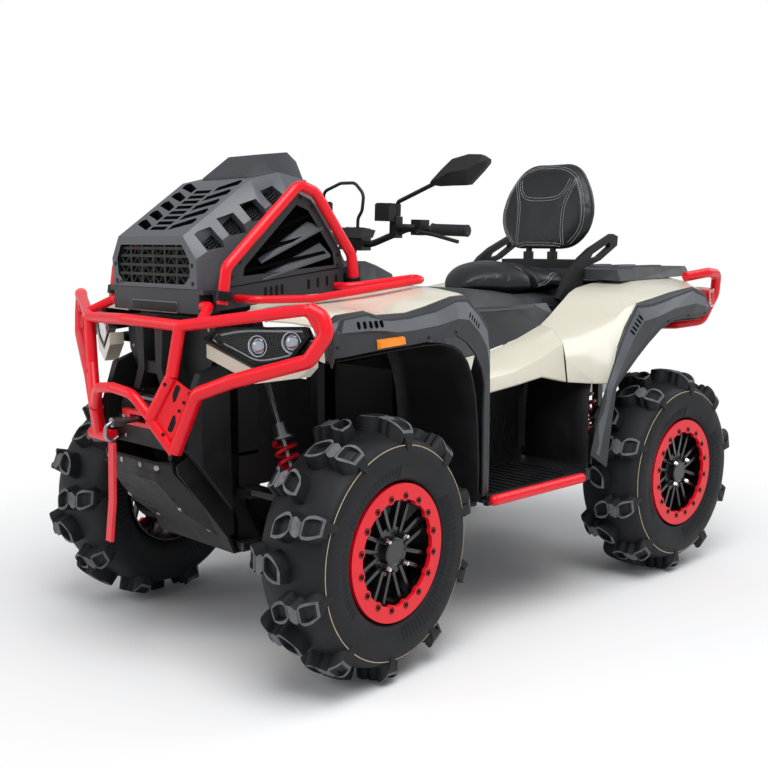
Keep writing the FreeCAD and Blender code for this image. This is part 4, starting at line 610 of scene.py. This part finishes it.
def sewn(obj, lines, thread):
    """Seams: the surface sinks along each line as a rounded valley, with two rows of stitches, thick enough to show."""
    deep, wide, beside, lift = 2.8 * MM, 4.8 * MM, 5.5 * MM, 0.4 * MM
    stitch, step, margin = 6.2 * MM, 8.5 * MM, 20 * MM
    points = coords(obj.data)
    flat = BVHTree.FromObject(obj, bpy.context.evaluated_depsgraph_get())
    sink = np.zeros(len(points))
    for line in lines:
        places, _ = laid(flat, line, 160)
        near = np.full(len(points), 1.0)
        box = (points > places.min(0) - margin).all(1) & (points < places.max(0) + margin).all(1)
        near[box] = np.sqrt(((points[box][:, None] - places[None]) ** 2).sum(-1)).min(1)
        sink = np.maximum(sink, np.exp(-(near / wide) ** 2) * deep)
    set_points(obj.data, points - coords(obj.data, "normal") * sink[:, None])
    calm = np.hanning(61) / np.hanning(61).sum()
    for line in lines:
        places, ways = (np.stack([np.convolve(np.pad(a[:, i], 30, mode="reflect", reflect_type="odd"), calm, "valid")
                                  for i in range(3)], -1) for a in laid(flat, line, 400))
        along = unit(np.gradient(places, axis=0))
        run = np.concatenate([[0], np.cumsum(np.linalg.norm(np.diff(places, axis=0), axis=1))])
        for offset in (-beside, beside):
            side = places + np.cross(ways, along) * offset
            for at in np.arange(4 * MM, run[-1] - 8 * MM, step):
                ends = []
                for e in (0.0, stitch):
                    hit, n, _, _ = flat.find_nearest(Vector([np.interp(at + e, run, side[:, i]) for i in range(3)]))
                    ends.append((np.array(hit) + np.array(n) * lift) / MM)
                thread.put(*bar(*ends, 0.8, 5))


def rings(stations, around, power, part, least):
    """What both cushion shapes share: the stations' smoothed columns, the fullness, a superellipse and the faces.

    The ends close in a quarter of an ellipse over that part of the length, down to a least size.
    """
    count = 44
    st = spline(stations, count)[:, :, None]
    t = np.linspace(0, 1, count)[:, None]
    full = np.sqrt(np.clip(1 - (1 - np.clip(np.minimum(t, 1 - t) / part, 0, 1)) ** 2, least, 1))
    wide, high = (np.sign(q) * np.abs(q) ** (2 / power) for q in (np.cos(circle(around)), np.sin(circle(around))))
    return st[:, 0], st[:, 1], st[:, 2], st[:, 3], full, wide, high, tube_faces(count, around)


def seat_shell(stations):
    """Cushion before it is blown up: each section across is a superellipse over a flat base.

    Stations are (x, top, half width, base).
    """
    x, top, half, base, full, wide, high, faces = rings(stations, 40, 2.15, 0.05, 0.02)
    y = half * full * wide
    middle = base + (top - base) * 0.22
    z = np.where(high > 0, middle + (top - middle) * high * full, middle + (middle - base) * high)
    return np.stack([np.broadcast_to(x, y.shape), y, z], -1), flip(faces)


def back_shell(stations):
    """Backrest before it is blown up: each level is a superellipse, wide across and thin from front to back.

    Stations are (z, x of the front, half width, thickness).
    """
    z, front, half, thick, full, wide, high, faces = rings(stations, 48, 2.7, 0.06, 0.05)
    y = half * (0.75 + 0.25 * full) * wide
    return np.stack([front - thick / 2 + thick / 2 * full * high, y, np.broadcast_to(z, y.shape)], -1), faces


def make_cushions():
    """Both cushions and the backrest, with their seams; each keeps within its span of one axis."""
    thread = Lump()
    for name, shell, node, stations, most, fill, axis, span in (
            ("rider_cushion", seat_shell, "seats", RIDER, 4.5, 0.8, 0, (-455.5, 0)),
            ("passenger_cushion", seat_shell, "seats", PASSENGER, 4.5, 0.8, 0, (-658.5, -457.5)),
            ("backrest_cushion", back_shell, "backrest", BACKREST, 6, 0.85, 2, (1186.2, 1539.5))):
        obj = piece(name, *shell(stations), VINYL, "seat_leather", None)
        points = puffed(obj, most)
        if node == "seats":
            x, _, _, base = np.array(sorted(stations)).T
            points[:, 2] = np.maximum(points[:, 2], (np.interp(points[:, 0] / MM, x, base) - 1) * MM)
        points[:, axis] = np.clip(points[:, axis], *np.array(span) * MM)
        set_points(obj.data, points)
        obj.data.polygons.foreach_set("use_smooth", np.ones(len(obj.data.polygons), bool))
        sewn(obj, SEAMS[name], thread)
        even = obj.modifiers.new("smooth", "SUBSURF")
        even.levels = even.render_levels = 1
        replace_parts(obj, node)
    thread.make("seat_stitches", THREAD, "seat_leather")
    posts = Lump()
    posts.both(*bar((-727, 60, 1160), (-734, 60, 1218), 12.5, 16))
    posts.make("backrest_posts", DARK_STEEL, METAL)


make_cushions()

# Details that the solids leave out


def surface(*names):
    """Closest-point tree, in mm, of the named CAD nodes or of an object."""
    verts, faces = [], []
    for n in names:
        data = (NODES[n] if isinstance(n, str) else n).data
        faces += [[i + len(verts) for i in f.vertices] for f in data.polygons]
        verts += [v.co / MM for v in data.vertices]
    return BVHTree.FromPolygons(verts, faces)


def stuck(tree, point, way):
    """Where a ray from point along way meets the tree, with the surface's direction turned back at the ray."""
    place, normal, _, _ = tree.ray_cast(Vector(point), Vector(way))
    if place is None:
        place, normal, _, _ = tree.find_nearest(Vector(point))
    if normal.dot(Vector(way)) > 0:
        normal = -normal
    return np.array(place), np.array(normal)


def slots(lump, tree, points, way, along, half_u, half_v, deep=0.8):
    """Rounded inlays on a surface, dark as painted shade for slots and holes: each centre is found by a ray, and its
    long side lies along a direction.
    """
    for p in points:
        at, n = stuck(tree, p, way)
        u = unit(along - n * (np.array(along, float) @ n))
        lump.put(*slab(at - n * deep, u, np.cross(n, u), n, half_u, half_v, 1.5 * deep, 1.0, 5))


def bolts_on(lump, tree, points, way, radius=6, height=3):
    """Bolt heads seated on a surface at the places where rays meet it."""
    screws(lump, *zip(*(stuck(tree, p, way) for p in points)), radius, height)


def cloth(lump, a, b, c, d, pitch):
    """Wire cloth over the patch a b c d: straight wires between evenly spaced points of opposite sides."""
    a, b, c, d = np.array([a, b, c, d], float)
    for p0, p1, q0, q1 in ((a, b, d, c), (a, d, b, c)):
        count = max(2, int(np.linalg.norm(p1 - p0) / pitch))
        for t in np.linspace(0, 1, count + 1):
            lump.put(*bar(p0 + (p1 - p0) * t, q0 + (q1 - q0) * t, 0.8, 4))


def make_shroud():
    """Wire cloth and chevrons in the shroud's openings, blank nameplate, side fins, tray slots as painted shade, bolts,
    collars.
    """
    wire, chevrons, fins, dark, heads, collars = lumps(6)
    cloth(wire, (1055, -184, 1114), (1055, 184, 1114), (1055, 184, 1220), (1055, -184, 1220), 7)
    for s in SIDES:
        cloth(wire, (1052, s * 212, 1165), (1052, s * 160, 1238), (775, s * 160, 1410), (775, s * 224, 1345), 9)
    cloth(wire, (1045, -150, 1238), (1045, 150, 1238), (865, 150, 1372), (865, -150, 1372), 9)
    wire.make("wire_cloth", SCREEN, BLACK, None)
    for low in (1112, 1138, 1164, 1190):
        for y in np.arange(8) * 45 - 157.5:
            for s in SIDES:
                chevrons.put(*bar((1068, y, low), (1068, y + s * 22.5, low + 24), 2.8, 6))
    chevrons.make("grille_chevrons", BLACK_PP, GREY, None)
    for name, mat, slot, x, half_u, half_v in (
            ("nameplate", PLATE, BLACK, 1073, 117.5, 13), ("nameplate_frame", CAST, GREY, 1071.5, 121, 16.5)):
        piece(name, *slab((x, 0, 1046.5), Y, Z, X, half_u, half_v, 3, 0.35), mat, slot, 30)
    for tip, end, back in (((888, 1172), (655, 1272), (702, 1288)), ((884, 1124), (628, 1190), (652, 1226))):
        fins.both([[(x1, 246.2, z1 - 16 * w), (x0, 267.2, z0 - 7 * w), (x0, 267.2, z0), (x1, 246.2, z1)]
                   for (x0, z0), (x1, z1), w in ((tip, (tip[0] - 4, tip[1] + 10), 0.5), (end, back, 1))],
                  tube_faces(2, 4))
    fins.make("side_fins", SHROUD, GREY, None)
    tray, shell = surface("radiator_tray"), surface("radiator_shroud", "shroud_covers")
    for s in SIDES:
        row = (870, 850, 830, 810, 710, 674, 638, 602, 567)
        slots(dark, tray, [(x, s * 300, 1087 + (870 - x) * 0.11) for x in row], -s * Y, Z, 15, 5)
        places = ((990, 1135), (960, 1175), (740, 1356), (700, 1330), (600, 1190), (600, 1160))
        bolts_on(heads, shell, [(x, s * 350, z) for x, z in places], -s * Y)
        bolts_on(heads, shell, [(1200, s * 200, z) for z in (1115, 1165)], -X)
        for a, b in (((1036, s * 285, 1070), (1032, s * 285, 1096)), ((548, s * 285, 1098), (551, s * 285, 1122))):
            way = np.subtract(b, a)
            size = np.linalg.norm(way)
            lathe(collars, [(0, 0), (0, 20.5), (2, 22.5), (size - 2, 22.5), (size, 20.5), (size, 0)], a, way / size)
    dark.make("tray_slots", LAMP_BLACK_AND_HOLE_SHADE, BLACK, 30)
    heads.make("shroud_bolts", DARK_STEEL, METAL)
    collars.make("hoop_collars", DARK_STEEL, METAL)


def make_lights():
    """Two projectors in each headlight, each a chromed bezel and a glass dome, and the daylight strips."""
    chrome, dome, strip = lumps(3)
    rake = 0.42
    for s in SIDES:
        for y, z in ((395, 952), (490, 965)):
            centre, way = (1162.5 - rake * y, s * y, z), unit([1, rake * s, 0])
            bezel = [(0, 28.5), (8, 30), (11, 29), (11, 27.2), (4, 24.5), (0, 24.5), (0, 28.5)]
            lathe(chrome, bezel, centre, way, 48)
            lathe(dome, [(0, 0), (0, 23.5), (4, 22.8), (8, 20), (11, 14), (12.5, 7), (13, 0)], centre, way, 40)
        for radius, line in ((3.2, ((292, 979), (360, 991.5), (450, 994.5), (528, 996.5))),
                             (2.2, ((300, 955), (345, 935), (395, 914), (450, 921), (497, 934)))):
            strip.put(*tube(spline([(1171 - rake * y, s * y, z) for y, z in line], 24), radius, 8))
    chrome.make("headlight_bezels", CHROME, "lamp_housing")
    dome.make("headlight_domes", PROJECTOR, "clear_cover")
    strip.make("daylight_strips", THREAD, "lamp_housing")


def make_winch():
    """Rope on the drum, ribs of the motor housing, tie bars, and the rollers' bolts."""
    rope, ribs, ties = lumps(3)
    turns = [(y, 37.2 + 2.2 * abs(sin(y * pi / 8))) for y in range(-53, 54)]
    lathe(rope, [(-53, 0)] + turns + [(53, 0)], (1075, 0, 745), Y, 40)
    for s in SIDES:
        for y in range(62, 128, 11):
            lathe(ribs, [(0, 0), (0, 45), (1, 46.2), (4, 46.2), (5, 45), (5, 0)], (1075, s * y, 745), s * Y, 40)
    for x, z in ((1105, 778), (1045, 778), (1112, 742)):
        ties.put(*bar((x, -124, z), (x, 124, z), 6))
    screws(ties, [(1140.5, s * 70, 722.5) for s in SIDES], [X, X], 8, 6, dome=False)
    rope.make("winch_rope", GRIP, BLACK)
    ribs.make("winch_ribs", BLACK_PP, BLACK)
    ties.make("winch_ties", STEEL, METAL)


def make_front_metal():
    """Slots and holes of the bumper's gussets and slots of the bash plate, all dark inlays of painted shade; bolts of
    the bash plate and of the nose.
    """
    gusset, dark, heads = lumps(3)
    bumper, plate, nose = surface("front_bumper"), surface("skid_plate"), surface("front_fascia")
    for s in SIDES:
        slots(gusset, bumper, [(1250, s * 222, 820), (1250, s * 206, 735)], -X, (0.2, -s * 0.45, -1), 26, 8)
        holes = ((246, 846), (262, 822), (244, 796), (228, 772), (188, 705), (203, 690))
        slots(gusset, bumper, [(1250, s * y, z) for y, z in holes], -X, Z, 5.5, 5.5)
    for places, half_u, half_v in (([(y, z) for z in (415, 500) for y in (-105, 0, 105)], 34, 9.5),
                                   ([(-60, 545), (60, 545)], 22, 8), ([(0, 455), (0, 585)], 150, 1.4)):
        slots(dark, plate, [(1400, y, z) for y, z in places], -X, Y, half_u, half_v)
    for tree, places, size in ((plate, ((130, 600), (50, 600), (135, 470), (135, 390)), (8, 4)),
                               (nose, ((200, 985), (200, 915), (135, 720), (100, 660)), ())):
        bolts_on(heads, tree, [(1400, s * y, z) for s in SIDES for y, z in places], -X, *size)
    gusset.make("gusset_slots", LAMP_BLACK_AND_HOLE_SHADE, BLACK, 30)
    dark.make("bash_plate_slots", LAMP_BLACK_AND_HOLE_SHADE, BLACK, 30)
    heads.make("front_bolts", STEEL, METAL)


# The flares' facets: x, z of the top border, of the crease and of the low border; how far the crease stands out
FRONT_FACET = [
    (892, 1004, 892, 990, 892, 984, 1), (868, 1026, 868, 992, 868, 986.5, 4),
    (782, 1036, 782, 992, 782, 986.5, 5), (725, 1018, 725, 988, 725, 980, 6),
    (690, 1016, 688, 982, 686, 956, 8), (620, 1018, 620, 984, 620, 954, 9),
    (520, 1030, 522, 992, 524, 962, 9), (429, 1055, 436, 1006, 445, 966, 9),
    (378, 1054, 388, 1000, 400, 945, 9), (324, 1010, 342, 960, 360, 908, 9),
    (284, 962, 305, 912, 328, 856, 8), (277, 896, 294, 852, 314, 804, 8),
    (273, 790, 288, 756, 308, 712, 7), (271, 600, 284, 600, 299, 594, 5),
    (269, 500, 282, 500, 297, 500, 3), (268, 462, 281, 462, 296, 462, 1)]
REAR_FACET = [
    (-276, 505, -300, 497, -326, 480, 1), (-296, 608, -322, 602, -352, 594, 6),
    (-338, 720, -356, 720, -374, 724, 8), (-407, 845, -420, 815, -434, 782, 9),
    (-458, 926, -476, 885, -494, 828, 9), (-517, 996, -540, 945, -564, 876, 9),
    (-600, 996, -620, 955, -646, 918, 9), (-742, 1016, -742, 980, -745, 948, 9),
    (-897, 1040, -890, 992, -882, 950, 9), (-994, 1012, -985, 975, -975, 952, 6),
    (-1036, 988, -1036, 972, -1036, 958, 1)]


def ridge(lump, tree, stations):
    """A raised facet along a flare: a strip with a crease standing proud of the surface, sunk at both borders.

    Rays find the surface. The faces under the crease are of the second kind; the upper facet is of the first, drawn
    lighter as painted light.
    """
    sunk = 0.6
    rows = []
    for *edges, proud in stations:
        row = [stuck(tree, (x, 700, z), -Y)[0] + out * Y
               for x, z, out in zip(edges[::2], edges[1::2], (-sunk, proud, -sunk))]
        rows.append(row + [(row[0] + row[2]) / 2 - sunk * Y])
    faces = flip(tube_faces(len(rows), 4))
    lump.both(rows, faces, [int(k % 4 == 1 and k < len(faces) - 2) for k in range(len(faces))])


def make_flare_details():
    """Raised facets along the flares, their upper faces lighter as painted light; slots in the front ones and vents at
    their rear shoulders, dark as painted shade; and bolts.
    """
    facets, dark, heads = lumps(3)
    front, back = surface("front_flares"), surface("rear_flares")
    ridge(facets, front, FRONT_FACET)
    ridge(facets, back, REAR_FACET)
    # Upper facets in charcoal as painted light; under the crease the flares' own dark plastic
    raised = surface(facets.make("flare_facets", [CHARCOAL_AND_PAINTED_LIGHT, SKIRT], GREY, None))
    for s in SIDES:
        for x, z, dx, dz, along, *size in (
                (823, 1008, -21.5, 0, (0.02, 0, 1), 10.5, 5.5, 2), (378, 1013, -9.5, -8.4, (0.66, 0, -0.75), 10.5, 3),
                (-476, 908, -12, 12.5, (0.70, 0, 0.71), 12, 3.4, 4)):
            slots(dark, raised, [(x + dx * k, s * 700, z + dz * k) for k in range(5)], -s * Y, along, *size)
        for tree, places in ((front, ((900, 955), (735, 955), (560, 960), (445, 968))),
                             (back, ((-980, 952), (-840, 950), (-700, 936)))):
            bolts_on(heads, tree, [(x, s * 700, z) for x, z in places], -s * Y, 5.5, 2.5)
    dark.make("flare_slots", PAINTED_SHADE_BLACK, BLACK, 30)
    heads.make("flare_bolts", DARK_STEEL, METAL)


def make_splash_sheets():
    """Rubber sheets that keep the mud out, behind the shock towers, at the tunnel's corners and beside the seat."""
    sheets = Lump()
    tunnel = abs(stuck(surface("frame_left"), (605, 0, 660), Y)[0][1])
    sheets.put(*slab((606, 0, 645), Y, Z, X, min(tunnel + 2, 235), 155, 3, 0.03))
    for x, y, z, *size in ((-338, 230.5, 635, 26, 165, 3, 0.05), (-470, 238, 985, 34, 38, 4, 0.10),
                           (850, 200.5, 570, 82, 52, 3, 0.05), (897, 200.5, 712, 35, 100, 3, 0.05)):
        sheets.both(*slab((x, y, z), X, Z, Y, *size))
    sheets.make("splash_sheets", GRIP, BLACK, 30)


def make_springs():
    """Coil springs: a round wire carried round a helix about each shock's line, between its two collars."""
    springs = Lump()
    turns, coil_r, wire_r, low_collar, high_collar = 8, 31, 6, 71.3, 205.3
    for x in (790, -710):
        foot, head = np.array([x, 365, 349.75]), np.array([x, 150, 828])
        size = np.linalg.norm(head - foot)
        d = (head - foot) / size
        other = unit(np.cross(d, X))
        t = np.linspace(0, 1, turns * 26)[:, None]
        a = 2 * pi * turns * t
        middle = foot + d * (low_collar + (size - high_collar - low_collar) * t)
        springs.both(*tube(middle + coil_r * (X * np.cos(a) + other * np.sin(a)), wire_r, 10))
    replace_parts(springs.make("coil_springs", RED, "red_powder"), "shock_springs")


def turned_bar(points):
    """Points of the straight-ahead handlebar, turned about the stem by the steering at rest."""
    turn = Matrix.Rotation(REST_STEER, 3, Vector((-sin(STEM_LEAN), 0, cos(STEM_LEAN))))
    return (np.reshape(points, (-1, 3)) - STEM_TOP) @ np.array(turn).T + STEM_TOP


def make_controls():
    """Ribbed grips, display glass, mirror glass, buttons, and reservoir caps with their screws."""
    grips, glass, caps, screen, buttons, heads = lumps(6)
    mirror = [(345, 206), (392, 209), (452, 211), (496, 250), (512, 268), (508, 280), (455, 288), (395, 273),
              (350, 244)]
    ribs = [(5.3 * k + at, r) for k in range(22) for at, r in ((6, 17.8), (7, 18.8), (9.2, 18.8), (10.2, 17.8))]
    profile = [(-4, 0), (-4, 16.5), (-1, 19.5), (4, 19.5)] + ribs + [(126, 20.5), (129, 20.5), (129, 11.5)]
    for s in SIDES:
        end = STEM_TOP + (-66, s * 420, 62)
        d = unit(STEM_TOP + (-36, s * 200, 62) - end)
        lathe(grips, profile, end, d, 28)
        glass.put(*prism([STEM_TOP + (-34.6 - 2 * (z - 200) / 90, s * y, z) for y, z in mirror], -1.2 * X))
        for y in (10, 0, -10):
            buttons.put(*slab(end + d * 175 + (-22.2, -s * y, 10), Y, Z, -X, 3.6, 5.5, 2, 0.5))
        caps.put(*slab(STEM_TOP + (11, s * 142, 138.5), X, Y, Z, 17.5, 28.5, 4.2, 0.25))
        screws(heads, turned_bar([STEM_TOP + (11, s * y, 142.5) for y in (124, 160)]), [Z, Z], 3.5, 1.2)
    screen.put(*slab(STEM_TOP + (-17, 0, 55.2), (0.9940, 0, 0.1104), Y, (-0.1104, 0, 0.9940), 21, 43, 3, 0.4))
    for lump, name, mat, slot, sharp in (
            (caps, "reservoir_caps", LAMP_BLACK_AND_HOLE_SHADE, BLACK, 30), (grips, "grip_ribs", GRIP, BLACK, 35),
            (glass, "mirror_glass", MIRROR, "clear_cover", 30), (screen, "display_glass", DISPLAY, BLACK, 30),
            (buttons, "switch_buttons", RED, "red_lens", 30)):
        lump.v = [turned_bar(v) for v in lump.v]
        lump.make(name, mat, slot, sharp, "handlebar")
    heads.make("control_screws", STEEL, METAL, body="handlebar")


def make_deck():
    """Pads and lashing slots of the cargo deck, the slots dark inlays of painted shade; ribs of the tail lamps,
    reflectors and bolts at the tail.
    """
    pads, dark, ribs, heads = lumps(4)
    deck, lamps, tail = surface("rear_rack"), surface("tail_lamps"), surface("rear_body", "rear_mudguard")
    for y in range(-300, 301, 120):
        for x in (-885, -1045):
            pads.put(*slab((x, y, 1121.8), X, Y, Z, 65, 24, 5, 0.5))
    slots(dark, deck, [(-1165, y, 1200) for y in (-240, -80, 80, 240)], -Z, Y, 22, 6)
    for s in SIDES:
        slots(dark, deck, [(x, s * 365, 1200) for x in (-840, -930, -1020, -1110)], -Z, X, 22, 6)
        for x in range(-1085, -1126, -10):
            at, _ = stuck(lamps, (x, s * 700, 1000), -s * Y)
            ribs.put(*bar(at + 24 * Z, at - 26 * Z, 1.8, 8))
        at, n = stuck(tail, (-1400, s * 135, 905), X)
        lathe(ribs, [(-1, 0), (-1, 23), (4, 22.5), (7, 18), (8, 0)], at, n, 36)
        bolts_on(heads, tail, [(-1400, s * y, z) for y, z in ((235, 1012), (235, 1056), (135, 945), (135, 800))], X)
    pads.make("deck_pads", CHARCOAL_AND_PAINTED_LIGHT, GREY, 30)
    dark.make("deck_slots", LAMP_BLACK_AND_HOLE_SHADE, BLACK, 30)
    heads.make("tail_bolts", DARK_STEEL, METAL)
    ribs.make("tail_lamp_ribs", LENS_RED, "red_lens")


def make_floor_ribs():
    """Raised treads on the footwell floors and hatch ribs on their tunnel walls."""
    treads = Lump()
    for k in range(13):
        treads.both(*slab((-200 + 36 * k, 430, 439.8), X, Y, Z, 8, 125 if k else 95, 6, 0.6))
    for x in range(-290, 211, 50):
        for a, b in ((x, x + 40), (x + 40, x)):
            treads.both(*bar((a, 231.5, 470), (b, 231.5, 600), 3, 6))
    treads.make("footwell_treads", BLACK_PP, BLACK, 30)


for make in (make_shroud, make_lights, make_winch, make_front_metal, make_flare_details, make_splash_sheets,
             make_springs, make_controls, make_deck, make_floor_ribs):
    make()

# Floor, light and camera, in metres


def seen_by(tree, *kinds):
    """One where a ray comes from the camera or is of one of these kinds."""
    rays = add(tree, "LightPath")
    seen = rays["Is Camera Ray"]
    for kind in kinds:
        seen = add(tree, "Math", {"operation": "MAXIMUM"}, {0: seen, 1: rays[kind]})[0]
    return seen


def stage():
    """Pale floor that takes the shadow; far from the machine it and the sky are white to the camera."""
    half = 30.0
    mesh = bpy.data.meshes.new("floor")
    mesh.from_pydata([(-half, -half, 0), (half, -half, 0), (half, half, 0), (-half, half, 0)], [], [(0, 1, 2, 3)])
    mat, tree, shader = blank("pale_floor")
    shader.inputs["Base Color"].default_value = linear("F4F4F4")
    shader.inputs["Roughness"].default_value = 0.9
    place = add(tree, "TexCoord")["Object"]
    far = add(tree, "VectorMath", {"operation": "LENGTH"}, {0: place})["Value"]
    fade = add(tree, "MapRange", {"From Min": 1.1, "From Max": 2.6, "interpolation_type": "SMOOTHSTEP"},
               {"Value": far})
    seen = seen_by(tree, "Is Transmission Ray", "Is Glossy Ray")
    share = add(tree, "Math", {"operation": "MULTIPLY"}, {0: seen, 1: fade["Result"]})
    white = add(tree, "Emission", {"Color": (1, 1, 1, 1), "Strength": 1})
    mix = add(tree, "MixShader", links={0: share[0], 1: shader.outputs[0], 2: white[0]})
    tree.links.new(mix[0], tree.nodes["Material Output"].inputs["Surface"])
    placed("floor", mesh, mat)
    world = bpy.data.worlds.new("studio")
    SCENE.world = world
    world.use_nodes = True
    tree = world.node_tree
    tree.nodes.clear()
    seen = seen_by(tree, "Is Transmission Ray")
    light = add(tree, "Background", {"Color": linear("F3F6FA"), "Strength": 0.52})
    white = add(tree, "Background", {"Color": (1, 1, 1, 1), "Strength": 1})
    mix = add(tree, "MixShader", links={0: seen, 1: light[0], 2: white[0]})
    add(tree, "OutputWorld", links={"Surface": mix[0]})
    target = Vector((0, 0, 0.6))
    for name, place, energy in (
            ("key", (1.6, 2, 4.4), 165), ("fill", (4.5, -2.5, 2.5), 45), ("back", (-4, 1.5, 3.5), 60)):
        data = bpy.data.lights.new(name, "AREA")
        data.energy = energy
        data.size = 3.0
        lamp = placed(name, data, [])
        lamp.location = place
        lamp.rotation_mode = "QUATERNION"
        lamp.rotation_quaternion = (target - Vector(place)).to_track_quat("-Z", "Y")


def camera():
    """The photograph's camera: place, turn and lens worked out from the wheels and the bumper."""
    data = bpy.data.cameras.new("camera")
    data.lens = 50.77
    data.sensor_width = 36.0
    cam = placed("camera", data, [])
    yaw, pitch, roll = radians(-133.99), radians(-7.73), 0.003
    look = Vector((cos(yaw) * cos(pitch), sin(yaw) * cos(pitch), sin(pitch)))
    cam.rotation_mode = "QUATERNION"
    cam.rotation_quaternion = look.to_track_quat("-Z", "Y") @ Matrix.Rotation(-roll, 3, "Z").to_quaternion()
    cam.location = (2.776, 2.721, 1.242)
    SCENE.camera = cam


stage()
camera()
SCENE.view_settings.view_transform = "Standard"
